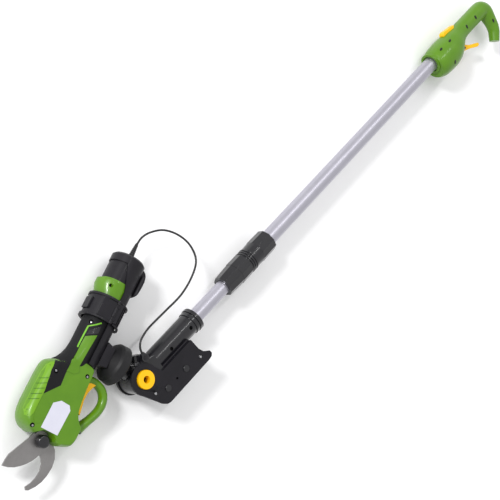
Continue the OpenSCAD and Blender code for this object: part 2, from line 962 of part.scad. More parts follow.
module battery_case()
  color(black)
    at_shear()
      difference() {
        union() {
          translate([0, grip_c, 0])
            rod(grip_to + 3.2, collar_to + 1, collar_grip - 1.9);
          translate([0, grip_c + 0.8, 0])
            rod(collar_to + touch, cradle_end - 18, collar_grip - 0.6);
          translate([0, cradle_v, 0])
            rod(collar_to + touch, cradle_end - 3.6, collar_grip - 0.2);
        }
        translate([0, cradle_v + 0.6, 0])
          rod(grip_to + 5.6, cradle_end - 6, 20.6);
        rod(grip_to + 2, grip_to + 8, 9);
      }

module battery_cells()
  color([0.25, 0.45, 0.65])
    at_shear()
      translate([0, cradle_v + 0.6, 0])
        for (turn = [90, 210, 330])
          rotate([turn, 0, 0])
            translate([0, 10.8, 0])
              rod(grip_to + 7, cradle_end - 7.5, 9.2);

module battery_contacts()
  color(steel)
    at_shear()
      for (y = [-5, 5])
        translate([grip_to - 5, y - 0.6, -3])
          cube([11.7, 1.2, 6]);

module control_board()
  color([0.1, 0.35, 0.2])
    at_shear()
      translate([152, -12, -1])
        cube([56, 23, 1.6]);

module drive_motor()
  color(steel)
    at_shear() {
      rod(motor_from, motor_from + 26, motor_r);
      rod(motor_from + 25.9, motor_from + 28, 5);
    }

module gearbox()
  color([0.35, 0.35, 0.37])
    at_shear() {
      rod(motor_from - 22, motor_from - touch, motor_r);
      translate([pinion_u + 14, -8, -12])
        cube([motor_from - pinion_u - 34, 16, 16]);
    }

// Plan of a toothed wheel with straight flanks and free backlash.
module toothed(teeth, radius) {
  circle(r = radius - 1.25 * gear_m);
  for (k = [0 : teeth - 1])
    rotate([0, 0, 360 * k / teeth])
      polygon([[radius - 1.6 * gear_m, -0.72 * gear_m], [radius + 0.7 * gear_m, -0.28 * gear_m],
        [radius + 0.7 * gear_m, 0.28 * gear_m], [radius - 1.6 * gear_m, 0.72 * gear_m]]);
}

module drive_pinion()
  color(steel)
    at_shear()
      translate([pinion_u, 0, 0])
        difference() {
          union() {
            rotate([0, 0, 180 / pinion_teeth])
              slab(0.4, 4)
                toothed(pinion_teeth, gear_m * pinion_teeth / 2);
            disc(-3.8, 0.5, 3);
          }
        }

blade_scale = blade_reach / 66;

// Plan of the curved cutting blade, ahead of the pivot.
module cutter_plan()
  difference() {
    union() {
      circle(r = 13);
      intersection() {
        circle(r = 15.6);
        polygon([[0, 0], [6, 30], [-30, 30], [-30, -30], [-2, -30]]);
      }
      polygon([for (p = [[4, 15], [-6, 18.5], [-24, 27.5], [-38, 34.3], [-47, 35.6], [-56, 35.6], [-54, 27],
        [-50, 18.5], [-44, 10.5], [-38, 4.5], [-31, -1], [-24, -5], [-15, -9], [-2, -10]])
        [p[0] < -16 ? p[0] * blade_scale : p[0], p[1]]]);
      intersection() {
        toothed(sector_teeth, gear_m * sector_teeth / 2);
        polygon([[0, 0], [30, 8], [36, -10], [18, -24]]);
      }
    }
    circle(r = 5 + slide_gap / 2);
  }

// Moving cutting blade with the toothed sector at its heel.
module moving_blade()
  color(steel)
    at_shear()
      slab(0.4, 0.4 + blade_t)
        cutter_plan();

// Plan of the hooked fixed blade.
module hook_plan()
  difference() {
    union() {
      circle(r = 14);
      polygon([for (p = [[-12, 6], [-15, -4], [-20, -13], [-27, -18.5], [-37, -21], [-47, -20], [-57, -16.5],
        [-65, -11.5], [-68.5, -14.5], [-67, -18], [-58, -25.5], [-48, -31], [-37, -34], [-24, -35.5],
        [-12, -33.5], [-2, -28], [5, -20], [9, -8], [8, 0]])
        [p[0] < -16 ? p[0] * blade_scale : p[0], p[1]]]);
    }
    circle(r = 5 + slide_gap / 2);
  }

module fixed_blade()
  color(steel)
    at_shear()
      slab(-blade_t, 0)
        hook_plan();

module pivot_bolt()
  color(steel)
    at_shear() {
      disc(-blade_t - 6, 8, 5);
      translate([0, 0, -blade_t - 6])
        cylinder(h = 5.9, r = 9, $fn = 6);
    }

// Domed cap on the blade pivot.
module pivot_cap()
  color(black)
    at_shear()
      difference() {
        union() {
          disc(0.8 + blade_t, 9, pivot_cap_r);
          disc(8.9, 11.5, pivot_cap_r - 2);
        }
        disc(0, 8 + touch, 5 + touch);
      }

lever_pivot = [102, -24];

// Amber trigger of the shear, in the finger loop.
module shear_trigger()
  color(amber)
    at_shear()
      difference() {
        slab(-6.5, 6.5)
          polygon([[103, -20], [98, -18.5], [84, -19.5], [67, -23.5], [60, -27.5], [56, -35], [64, -33.5],
            [78, -30.5], [90, -31], [100, -34.5], [106, -38], [107, -28]]);
        translate([lever_pivot[0], lever_pivot[1], 0])
          disc(-20, 20, 1.6);
      }

module shear_spring()
  color(steel)
    at_shear()
      difference() {
        union() {
          translate([lever_pivot[0], lever_pivot[1], 0])
            disc(-7, 7, 1.6 - slide_gap / 2);
          translate([70, -19, -1.5])
            cube([3, 3, 3]);
        }
      }

// Light green cover on the front ridge of the body.
module front_cover()
  color([0.55, 0.75, 0.3])
    at_shear()
      slab(-7, 7)
        difference() {
          polygon([[18, 47], [32, 53.3], [55, 53.6], [80, 53.5], [93, 52.4], [93, 49], [55, 50], [32, 49]]);
          offset(delta = touch)
            body_plan();
        }

module blank_label()
  color([0.85, 0.84, 0.9])
    at_shear()
      slab(body_half + touch, body_half + 0.4)
        polygon([[12, 18.6], [49, 18.4], [56.6, 8.4], [56.8, -5.6], [51, -10.2], [14, -9.2]]);

outer_tube();
inner_tube();
glide_bush();
clamp_sleeve();
clamp_nut();
clamp_collet();
handle_upper();
handle_lower();
handle_screws();
handle_trigger();
handle_lock();
handle_switch();
trigger_spring();
tube_anchor();
bracket_upper();
bracket_lower();
bracket_screws();
side_plate();
plate_screws();
hinge_pin();
hinge_nut();
tilt_button();
tilt_spring();
cord_clip();
clip_screw();
thumb_lug();
thumb_screw();
arm();
bell_nut();
cradle();
cradle_cup();
strap();
strap_pin();
strap_latch();
strain_relief();
link_cord();
shell_upper();
shell_lower();
shell_screws();
grip_upper();
grip_lower();
rear_collar();
battery_case();
battery_cells();
battery_contacts();
control_board();
drive_motor();
gearbox();
drive_pinion();
moving_blade();
fixed_blade();
pivot_bolt();
pivot_cap();
shear_trigger();
shear_spring();
front_cover();
blank_label();
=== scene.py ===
"""Visual model of a cordless pruning shear held in a cradle on a telescopic pole.

Lengths inside the classes are millimetres in the frame of their sub-assembly; every finished mesh
is in metres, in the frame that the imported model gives.
"""

from __future__ import annotations

import logging
import math
from dataclasses import dataclass
from enum import Enum
from typing import Any, Iterable, Optional, Sequence, Union

import bmesh
import bpy
from mathutils import Matrix, Vector
from mathutils.bvhtree import BVHTree

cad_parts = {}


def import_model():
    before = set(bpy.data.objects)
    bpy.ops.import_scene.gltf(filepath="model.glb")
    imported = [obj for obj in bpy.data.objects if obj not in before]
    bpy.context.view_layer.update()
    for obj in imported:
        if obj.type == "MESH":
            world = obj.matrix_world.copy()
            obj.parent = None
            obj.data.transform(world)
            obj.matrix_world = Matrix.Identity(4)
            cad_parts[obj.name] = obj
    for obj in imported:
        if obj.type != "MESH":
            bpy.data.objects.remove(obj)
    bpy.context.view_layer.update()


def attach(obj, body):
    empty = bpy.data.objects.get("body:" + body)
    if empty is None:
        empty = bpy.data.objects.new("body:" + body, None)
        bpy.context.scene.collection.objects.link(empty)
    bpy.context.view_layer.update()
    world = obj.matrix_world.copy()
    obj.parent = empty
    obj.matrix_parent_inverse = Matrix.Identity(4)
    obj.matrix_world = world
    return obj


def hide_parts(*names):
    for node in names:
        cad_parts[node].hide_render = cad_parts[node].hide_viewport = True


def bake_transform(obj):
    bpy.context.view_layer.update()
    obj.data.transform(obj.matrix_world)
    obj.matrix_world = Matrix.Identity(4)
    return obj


log = logging.getLogger("pole_shear")

Point2 = tuple[float, float]
Point3 = tuple[float, float, float]
Colour = tuple[float, float, float]

MM = 0.001
AXIS_HEIGHT = 31.0
HEAD_ANGLE = 18.7
PIVOT_BACK = 147.0
ARM_REACH = 96.0
HANDLE_START = 803.0

POLE_FRAME = Matrix.Translation((0, 0, AXIS_HEIGHT))
SHEAR_FRAME = (
    Matrix.Translation((0, 0, AXIS_HEIGHT))
    @ Matrix.Rotation(math.radians(HEAD_ANGLE), 4, "Z")
    @ Matrix.Translation((-PIVOT_BACK, ARM_REACH, 0))
)


# ------------------------------------------------------------------ shader sums
@dataclass(frozen=True)
class Wire:
    """One value or colour inside a material, on which sums can be written."""

    graph: "Graph"
    socket: bpy.types.NodeSocket

    def _sum(self, operation: str, first: Any, second: Any) -> "Wire":
        """Adds one Math node.

        Args:
            operation: the node's operation.
            first: its first value or wire.
            second: its second value or wire.

        Returns:
            The result.
        """
        return self.graph.make("ShaderNodeMath", {"operation": operation}, {0: first, 1: second})

    def __add__(self, other: Any) -> "Wire":
        """Sum."""
        return self._sum("ADD", self, other)

    __radd__ = __add__

    def __mul__(self, other: Any) -> "Wire":
        """Product."""
        return self._sum("MULTIPLY", self, other)

    __rmul__ = __mul__

    def __sub__(self, other: Any) -> "Wire":
        """Difference."""
        return self._sum("SUBTRACT", self, other)

    def __rsub__(self, other: Any) -> "Wire":
        """Difference with this value taken away."""
        return self._sum("SUBTRACT", other, self)


class Graph:
    """The node tree of one material."""

    def __init__(self, name: str) -> None:
        """Starts a material with its surface shader and output.

        Args:
            name: the material's name.
        """
        self.material = bpy.data.materials.new(name)
        self.material.use_nodes = True
        self.tree = self.material.node_tree
        self.shader = self.tree.nodes["Principled BSDF"]

    def make(
        self,
        kind: str,
        settings: Optional[dict[str, Any]] = None,
        inputs: Optional[dict[Any, Any]] = None,
        output: Union[int, str] = 0,
    ) -> Wire:
        """Adds a node.

        Args:
            kind: the node's type name.
            settings: properties set before the inputs; "stops" fills a colour ramp.
            inputs: values or wires by the socket's name or number.
            output: which output is returned.

        Returns:
            The chosen output as a wire.
        """
        node = self.tree.nodes.new(kind)
        for key, value in (settings or {}).items():
            if key == "stops":
                ramp = node.color_ramp
                while len(ramp.elements) < len(value):
                    ramp.elements.new(0.5)
                for element, (place, shade) in zip(ramp.elements, value):
                    element.position = place
                    element.color = (*shade, 1.0)
            else:
                setattr(node, key, value)
        for key, value in (inputs or {}).items():
            self.feed(node.inputs[key], value)
        return Wire(self, node.outputs[output])

    def feed(self, socket: bpy.types.NodeSocket, value: Any) -> None:
        """Links a wire to a socket, or sets the socket's own value.

        Args:
            socket: the input.
            value: a wire, a number, a colour or a vector.
        """
        if isinstance(value, Wire):
            self.tree.links.new(value.socket, socket)
        elif isinstance(value, tuple) and len(value) == 3 and len(socket.default_value) == 4:
            socket.default_value = (*value, 1.0)
        else:
            socket.default_value = value

    def place(self, turn: Point3 = (0, 0, 0), stretch: Point3 = (1, 1, 1)) -> Wire:
        """Makes the surface's own coordinates in millimetres.

        Args:
            turn: how far they are turned, in radians.
            stretch: how far they are stretched along each axis.

        Returns:
            The coordinates.
        """
        spot = self.make("ShaderNodeTexCoord", output="Object")
        return self.make(
            "ShaderNodeMapping",
            {"vector_type": "TEXTURE"},
            {"Vector": spot, "Rotation": turn, "Scale": tuple(MM * s for s in stretch)},
        )

    def noise(self, place: Wire, size: float, detail: float = 3.0, rough: float = 0.55) -> Wire:
        """Makes cloudy noise.

        Args:
            place: the coordinates.
            size: size of its features in millimetres.
            detail: layers of finer noise.
            rough: strength of the finer layers.

        Returns:
            The noise, about nought to one.
        """
        return self.make(
            "ShaderNodeTexNoise",
            {"noise_dimensions": "3D"},
            {"Vector": place, "Scale": 1 / size, "Detail": detail, "Roughness": rough},
        )

    def blend(self, factor: Any, first: Any, second: Any) -> Wire:
        """Mixes two colours.

        Args:
            factor: share of the second colour.
            first: the first colour.
            second: the second colour.

        Returns:
            The mixed colour.
        """
        node = self.tree.nodes.new("ShaderNodeMix")
        node.data_type = "RGBA"
        self.feed(node.inputs[0], factor)
        self.feed(node.inputs[6], first)
        self.feed(node.inputs[7], second)
        return Wire(self, node.outputs[2])

    def bump(self, height: Wire, depth: float) -> Wire:
        """A bumped normal; depth is in millimetres."""
        inputs = {"Height": height, "Distance": depth * MM, "Strength": 1.0}
        return self.make("ShaderNodeBump", None, inputs)


# ------------------------------------------------------------------ finishes
class Grain(Enum):
    """The fine surface that a finish has."""

    SPARK = "spark-eroded moulding"
    PEBBLE = "pebbled rubber"
    DRAWN = "drawn or ground along one direction"
    CAST = "tumbled or cast metal"
    PLAIN = "smooth"


@dataclass(frozen=True)
class Finish:
    """One material: its colour, gloss and grain.

    Attributes:
        name: the material's name.
        slot: the record's slot it belongs to; not used.
        colour: base colour, linear.
        tint: the colour it drifts towards in cloudy patches.
        drift: how far it drifts, nought to one.
        rough: lowest and highest roughness.
        metal: metallic share.
        grain: kind of fine surface.
        grain_size: size of the grain in millimetres.
        depth: depth of the grain in millimetres.
        turn: direction of drawn grain about Z, in degrees.
        coat: clear coat weight.
        gloss: specular level.
        speckle: how strongly the fine grain shades the colour.
    """

    name: str
    slot: str
    colour: Colour
    tint: Colour
    drift: float = 0.5
    rough: Point2 = (0.35, 0.5)
    metal: float = 0.0
    grain: Grain = Grain.SPARK
    grain_size: float = 0.45
    depth: float = 0.012
    turn: float = 0.0
    coat: float = 0.0
    gloss: float = 0.5
    speckle: float = 0.12

    def _grain(self, graph: Graph) -> tuple[Wire, Wire]:
        """Makes the fine height pattern.

        Args:
            graph: the material's nodes.

        Returns:
            The height pattern and a mask of the same grain for colour.
        """
        turn = (0.0, 0.0, math.radians(self.turn))
        if self.grain is Grain.DRAWN:
            along = graph.place(turn, (self.grain_size * 60, self.grain_size, self.grain_size))
            lines = graph.noise(along, 1.0, 4.0, 0.6)
            return lines, lines
        spot = graph.place()
        if self.grain is Grain.PEBBLE:
            cells = graph.make(
                "ShaderNodeTexVoronoi",
                {"feature": "SMOOTH_F1"},
                {"Vector": spot, "Scale": 1 / self.grain_size, "Smoothness": 0.6},
                "Distance",
            )
            return 1 - cells, cells
        fine = graph.noise(spot, self.grain_size, 2.0, 0.6)
        if self.grain is Grain.CAST:
            return fine + graph.noise(spot, self.grain_size * 6, 2.0) * 1.5, fine
        if self.grain is Grain.PLAIN:
            return graph.noise(spot, self.grain_size * 12, 2.0), fine
        return fine, fine

    def build(self) -> bpy.types.Material:
        """Makes the material.

        Returns:
            The material.
        """
        graph = Graph(self.name)
        spot = graph.place()
        height, mask = self._grain(graph)
        clouds = graph.noise(spot, 22.0, 4.0, 0.6)
        smudge = graph.noise(spot, 7.0, 5.0, 0.65)
        patch = (clouds - 0.35) * 2.2 * self.drift
        base = graph.blend(patch, self.colour, self.tint)
        dark = tuple(c * 0.55 for c in self.colour)
        base = graph.blend((mask - 0.4) * self.speckle * 4, base, dark)
        graph.feed(graph.shader.inputs["Base Color"], base)
        low, high = self.rough
        gloss = low + (high - low) * smudge * 1.1
        graph.feed(graph.shader.inputs["Roughness"], gloss + mask * 0.05)
        graph.feed(graph.shader.inputs["Normal"], graph.bump(height, self.depth))
        graph.shader.inputs["Metallic"].default_value = self.metal
        graph.shader.inputs["Specular IOR Level"].default_value = self.gloss
        graph.shader.inputs["Coat Weight"].default_value = self.coat
        graph.shader.inputs["Coat Roughness"].default_value = 0.08
        return graph.material


TUBE_ALLOY = Finish(
    "anodised_alloy", "anodised_tube", (0.47, 0.46, 0.52), (0.55, 0.54, 0.6), 0.4, (0.32, 0.44), 0.9,
    Grain.DRAWN, 0.35, 0.003, speckle=0.03,
)
GLOSS_BLACK = Finish(
    "gloss_black_moulding", "black_moulding", (0.005, 0.005, 0.007), (0.011, 0.01, 0.014), 0.5,
    (0.2, 0.34), grain_size=0.4, depth=0.004, coat=0.6, gloss=0.3,
)
CHARCOAL = Finish(
    "satin_charcoal_moulding", "charcoal_moulding", (0.006, 0.0055, 0.008), (0.014, 0.012, 0.017), 0.6,
    (0.34, 0.5), grain_size=0.5, depth=0.01, coat=0.08, gloss=0.24,
)
GREEN = Finish(
    "green_moulding", "green_moulding", (0.08, 0.205, 0.002), (0.112, 0.26, 0.005), 0.5, (0.26, 0.42),
    grain_size=0.45, depth=0.006, coat=0.2, gloss=0.35, speckle=0.06,
)
# Painted shade: a dark green for the strips that stand for the shaded grooves on the ridge.
GROOVE_SHADE_GREEN = Finish(
    "groove_shade_green_moulding", "green_moulding", (0.02, 0.085, 0.002), (0.03, 0.11, 0.004), 0.5, (0.35, 0.5),
    grain_size=0.4, depth=0.006, gloss=0.3, speckle=0.05,
)
# Painted highlight: a lighter copy of the green for the ridge cover, where the back of the body catches more
# light.
RIDGE_HIGHLIGHT_GREEN = Finish(
    "ridge_painted_highlight_green", "light_green_moulding", (0.13, 0.3, 0.007), (0.155, 0.33, 0.012), 0.5,
    (0.26, 0.4), grain_size=0.4, depth=0.006, coat=0.06, gloss=0.35, speckle=0.05,
)
LIME = Finish(
    "light_green_moulding", "light_green_moulding", (0.13, 0.37, 0.014), (0.18, 0.43, 0.03), 0.5,
    (0.3, 0.45), grain_size=0.4, depth=0.006, coat=0.05, gloss=0.35, speckle=0.05,
)
AMBER = Finish(
    "amber_moulding", "amber_moulding", (0.88, 0.47, 0.0), (0.93, 0.54, 0.002), 0.6, (0.28, 0.42),
    grain_size=0.4, depth=0.006, coat=0.05, gloss=0.35, speckle=0.05,
)
RUBBER = Finish(
    "grip_rubber", "soft_grip", (0.005, 0.005, 0.006), (0.011, 0.01, 0.012), 0.6, (0.5, 0.68),
    grain=Grain.PEBBLE, grain_size=0.9, depth=0.05, gloss=0.22, speckle=0.1,
)
BELL_RUBBER = Finish(
    "bell_rubber", "soft_grip", (0.01, 0.01, 0.011), (0.02, 0.019, 0.021), 0.6, (0.4, 0.56),
    grain=Grain.SPARK, grain_size=0.7, depth=0.02, gloss=0.25,
)
JACKET = Finish(
    "cord_jacket", "cord_jacket", (0.009, 0.009, 0.01), (0.015, 0.015, 0.016), 0.5, (0.35, 0.5),
    grain_size=0.3, depth=0.004,
)
BLADE = Finish(
    "blade_steel", "blade_steel", (0.26, 0.25, 0.247), (0.34, 0.33, 0.325), 0.6, (0.26, 0.42), 0.85,
    Grain.DRAWN, 0.3, 0.006, turn=30, speckle=0.08,
)
ZINC = Finish(
    "zinc_plate", "plated_steel", (0.4, 0.4, 0.42), (0.5, 0.49, 0.48), 0.5, (0.3, 0.44), 1.0,
    Grain.CAST, 0.3, 0.004, speckle=0.05,
)
# Blacked steel for the clip screw and strap pin; on the handle the same dark colour is painted shade for the
# screw wells.
BLACKED_STEEL_AND_WELL_SHADE = Finish(
    "blacked_steel_and_well_shade", "plated_steel", (0.03, 0.03, 0.034), (0.06, 0.055, 0.05), 0.5, (0.28, 0.45), 0.8,
    Grain.CAST, 0.3, 0.004, speckle=0.05,
)
# Painted shade: a near-black matt colour for the shaded recesses of the shell's screw wells and the bracket's
# screw holes.
PIT_SHADE = Finish(
    "painted_pit_shade", "plated_steel", (0.002, 0.002, 0.002), (0.004, 0.004, 0.004), 0.5, (0.6, 0.8),
    grain_size=0.3, depth=0.004, gloss=0.05,
)
BRONZE = Finish(
    "bronzed_pin", "bronzed_pin", (0.22, 0.09, 0.03), (0.3, 0.14, 0.05), 0.6, (0.3, 0.45), 0.9,
    Grain.CAST, 0.3, 0.004, speckle=0.1,
)
GEAR = Finish(
    "gear_case", "gear_case", (0.16, 0.16, 0.17), (0.22, 0.22, 0.23), 0.5, (0.4, 0.55), 0.7,
    Grain.CAST, 0.5, 0.012,
)
WRAP = Finish(
    "cell_wrap", "cell_wrap", (0.05, 0.14, 0.3), (0.07, 0.18, 0.36), 0.4, (0.3, 0.4),
    grain=Grain.PLAIN, depth=0.004,
)
BOARD = Finish(
    "circuit_board", "board", (0.01, 0.09, 0.03), (0.02, 0.13, 0.05), 0.5, (0.35, 0.5),
    grain=Grain.DRAWN, grain_size=1.2, depth=0.02,
)
FILM = Finish(
    "label_film", "label_film", (0.62, 0.62, 0.72), (0.7, 0.7, 0.78), 0.6, (0.35, 0.5), 0.15,
    Grain.PLAIN, 0.5, 0.01, speckle=0.05,
)


class Paints:
    """Keeps one material for each finish."""

    def __init__(self) -> None:
        """Starts with no materials."""
        self._made: dict[str, bpy.types.Material] = {}

    def get(self, finish: Finish) -> bpy.types.Material:
        """Finds the material of a finish, and makes it when it is first asked for.

        Args:
            finish: the finish.

        Returns:
            Its material.
        """
        if finish.name not in self._made:
            self._made[finish.name] = finish.build()
        return self._made[finish.name]


# ------------------------------------------------------------------ shapes
def between(a: float, b: float, c: float, d: float, t: float) -> float:
    """Blends four numbers in a row smoothly, from the second at nought to the third at one.

    Args:
        a: the number before.
        b: the number at nought.
        c: the number at one.
        d: the number after.
        t: the share of the way from b to c.

    Returns:
        The blended number.
    """
    square = (2 * a - 5 * b + 4 * c - d) * t * t
    cube = (3 * b - a - 3 * c + d) * t**3
    return 0.5 * (2 * b + (c - a) * t + square + cube)


def rounded(
    points: Sequence[tuple[float, ...]], per: int = 4, closed: bool = True,
) -> list[tuple[float, ...]]:
    """Passes a smooth line through points.

    Args:
        points: the points, in a plane or in space.
        per: steps between two points.
        closed: whether the line closes on itself.

    Returns:
        The denser line.
    """
    n = len(points)
    out: list[tuple[float, ...]] = []
    spans = n if closed else n - 1
    for i in range(spans):
        steps = (i - 1, i, i + 1, i + 2)
        pick = [points[k % n] if closed else points[min(max(k, 0), n - 1)] for k in steps]
        for step in range(per):
            out.append(tuple(between(*four, step / per) for four in zip(*pick)))
    if not closed:
        out.append(points[-1])
    return out


def oval(a: float, b: float, count: int) -> list[Point2]:
    """Points of an ellipse.

    Args:
        a: half its width.
        b: half its height.
        count: number of points.

    Returns:
        The points in order.
    """
    angles = [2 * math.pi * k / count for k in range(count)]
    return [(a * math.cos(turn), b * math.sin(turn)) for turn in angles]


class Shape:
    """A mesh in the making, in millimetres in one sub-assembly's frame."""

    def __init__(self, frame: Matrix) -> None:
        """Starts an empty mesh in that frame."""
        self.frame = frame
        self.bm = bmesh.new()

    def _move(self, verts: Iterable[bmesh.types.BMVert], at: Matrix) -> None:
        """Moves some vertices."""
        bmesh.ops.transform(self.bm, matrix=at, verts=list(verts))

    def soften(self, edges: Iterable[bmesh.types.BMEdge], width: float, steps: int) -> None:
        """Rounds edges.

        Args:
            edges: the edges.
            width: radius of the rounding.
            steps: its facets.
        """
        edges = list(edges)
        if edges and width > 0:
            bmesh.ops.bevel(
                self.bm, geom=edges, offset=width, offset_type="OFFSET", segments=steps, profile=0.5,
                affect="EDGES", material=-1, clamp_overlap=True,
            )

    def slab(
        self,
        outline: Sequence[Point2],
        low: float,
        high: float,
        edge: float = 0.5,
        steps: int = 3,
        at: Matrix = Matrix.Identity(4),
    ) -> list[bmesh.types.BMVert]:
        """Extrudes an outline between two heights and rounds its rims.

        Args:
            outline: plan points in order.
            low: lower height.
            high: upper height.
            edge: radius of both rims.
            steps: facets of the rounding.
            at: where the piece goes in this frame.

        Returns:
            The vertices made.
        """
        before = set(self.bm.verts)
        base = [self.bm.verts.new((x, y, low)) for x, y in outline]
        face = self.bm.faces.new(base)
        made = bmesh.ops.extrude_face_region(self.bm, geom=[face])["geom"]
        top = [v for v in made if isinstance(v, bmesh.types.BMVert)]
        self._move(top, Matrix.Translation((0, 0, high - low)))
        new = [v for v in self.bm.verts if v not in before]
        faces = {f for v in new for f in v.link_faces}
        bmesh.ops.recalc_face_normals(self.bm, faces=list(faces))
        tops = set(top)
        rim = {e for v in tops for e in v.link_edges if e.other_vert(v) in tops}
        lows = set(new) - tops
        foot = {e for v in lows for e in v.link_edges if e.other_vert(v) in lows}
        self.soften(rim, edge, steps)
        self.soften([e for e in foot if e.is_valid], edge, steps)
        new = [v for v in self.bm.verts if v not in before]
        self._move(new, at)
        return new

    def turn(
        self,
        profile: Sequence[Point2],
        steps: int = 64,
        at: Matrix = Matrix.Identity(4),
        closed: bool = False,
    ) -> list[bmesh.types.BMVert]:
        """Spins a profile of height and radius about Z.

        Args:
            profile: (height, radius) points.
            steps: facets round the turn.
            at: where the piece goes in this frame.
            closed: whether the profile closes on itself, as for a ring.

        Returns:
            The vertices made.
        """
        before = set(self.bm.verts)
        line = [self.bm.verts.new((r, 0.0, h)) for h, r in profile]
        pairs = list(zip(line, line[1:])) + ([(line[-1], line[0])] if closed else [])
        edges = [self.bm.edges.new(p) for p in pairs]
        bmesh.ops.spin(
            self.bm, geom=line + edges, cent=(0, 0, 0), axis=(0, 0, 1), angle=2 * math.pi, steps=steps,
            use_merge=True, dvec=(0, 0, 0),
        )
        new = [v for v in self.bm.verts if v not in before]
        bmesh.ops.remove_doubles(self.bm, verts=new, dist=1e-4)
        new = [v for v in self.bm.verts if v not in before]
        faces = {f for v in new for f in v.link_faces}
        bmesh.ops.recalc_face_normals(self.bm, faces=list(faces))
        self._move(new, at)
        return new

    def node(self, name: str, edge: float, steps: int = 2, angle: float = 28.0) -> None:
        """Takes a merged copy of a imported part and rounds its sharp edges.

        Args:
            name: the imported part.
            edge: radius of the rounding.
            steps: facets of the rounding.
            angle: edges that turn by more than this many degrees are rounded.
        """
        before = set(self.bm.verts)
        self.bm.from_mesh(bpy.data.objects[name].data)
        new = [v for v in self.bm.verts if v not in before]
        back = self.frame.inverted() @ Matrix.Scale(1 / MM, 4)
        self._move(new, back)
        bmesh.ops.remove_doubles(self.bm, verts=new, dist=0.002)
        new = [v for v in self.bm.verts if v not in before]
        faces = list({f for v in new for f in v.link_faces})
        for face in faces:
            face.material_index = 0
        edges = list({e for v in new for e in v.link_edges})
        bmesh.ops.dissolve_limit(
            self.bm, angle_limit=math.radians(0.6), use_dissolve_boundaries=False,
            verts=new, edges=edges, delimit=set(),
        )
        new = [v for v in self.bm.verts if v not in before]
        edges = list({e for v in new for e in v.link_edges})
        sharp = [
            e for e in edges
            if len(e.link_faces) == 2 and e.calc_face_angle(0.0) > math.radians(angle)
            and e.calc_length() > edge * 0.4
        ]
        self.soften(sharp, edge, steps)

    def done(
        self,
        name: str,
        paints: Paints,
        finish: Finish,
        body: str,
        replaces: Sequence[str] = (),
        sharp: float = 32.0,
    ) -> bpy.types.Object:
        """Turns the shape into a piece of the model.

        Args:
            name: the piece's name.
            paints: the materials.
            finish: its finish.
            body: the body it rides on.
            replaces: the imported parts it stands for.
            sharp: edges above this many degrees stay crisp.

        Returns:
            The new object.
        """
        self.bm.transform(Matrix.Scale(MM, 4) @ self.frame)
        bmesh.ops.dissolve_degenerate(self.bm, edges=self.bm.edges[:], dist=1e-7)
        mesh = bpy.data.meshes.new(name)
        self.bm.to_mesh(mesh)
        self.bm.free()
        mesh.shade_smooth()
        mesh.set_sharp_from_angle(angle=math.radians(sharp))
        piece = bpy.data.objects.new(name, mesh)
        bpy.context.scene.collection.objects.link(piece)
        mesh.materials.append(paints.get(finish))
        smooth = piece.modifiers.new("even_shading", "WEIGHTED_NORMAL")
        smooth.keep_sharp = True
        if replaces:
            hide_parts(*replaces)
        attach(piece, body)
        log.info("%s: %d faces, on %s", name, len(mesh.polygons), body)
        return piece


def lying(x: float, y: float, z: float) -> Matrix:
    """Lays a turned piece's axis along X.

    Args:
        x: where it starts.
        y: its place along Y.
        z: its height.

    Returns:
        The placement.
    """
    return Matrix.Translation((x, y, z)) @ Matrix.Rotation(math.radians(90), 4, "Y")


def standing(x: float, y: float, z: float, spin: float = 0.0) -> Matrix:
    """Stands a piece on Z at a point, turned about its own axis."""
    return Matrix.Translation((x, y, z)) @ Matrix.Rotation(math.radians(spin), 4, "Z")


def plate(left: float, right: float, near: float, far: float) -> list[Point2]:
    """The four corners of a rectangle, in order."""
    return [(left, near), (right, near), (right, far), (left, far)]


@dataclass
class Screws:
    """Pan-head screws with a hexagonal recess."""

    head: float
    thick: float
    spin: float = 20.0

    def add(self, shape: Shape, x: float, y: float, low: float) -> None:
        """Adds one head that stands on Z.

        Args:
            shape: the mesh it goes into.
            x: its place along X.
            y: its place along Y.
            low: height of its underside.
        """
        r, h = self.head, self.thick
        profile = [(0, 0), (0, r), (h * 0.45, r), (h * 0.8, r * 0.9), (h, r * 0.72), (h, 0)]
        made = shape.turn(profile, 36, standing(x, y, low, self.spin))
        top = [v for v in made if abs(v.co.z - low - h) < 1e-3]
        caps = [f for f in {f for v in top for f in v.link_faces} if f.normal.z > 0.99]
        bmesh.ops.dissolve_faces(shape.bm, faces=caps)
        # a low collar stands on the crown and is sunk inside, so that the recess has walls
        hexagon = oval(0.5 * r, 0.5 * r, 6)
        collar = shape.slab(hexagon, 0, 0.06 * r, 0.0, at=standing(x, y, low + h - 0.002, self.spin))
        lid = [f for f in {f for v in collar for f in v.link_faces} if f.normal.z > 0.99]
        bmesh.ops.inset_region(shape.bm, faces=lid, thickness=0.03 * r, depth=0.0)
        sunk = list({v for f in lid for v in f.verts})
        bmesh.ops.translate(shape.bm, vec=(0, 0, -0.3 * r), verts=sunk)


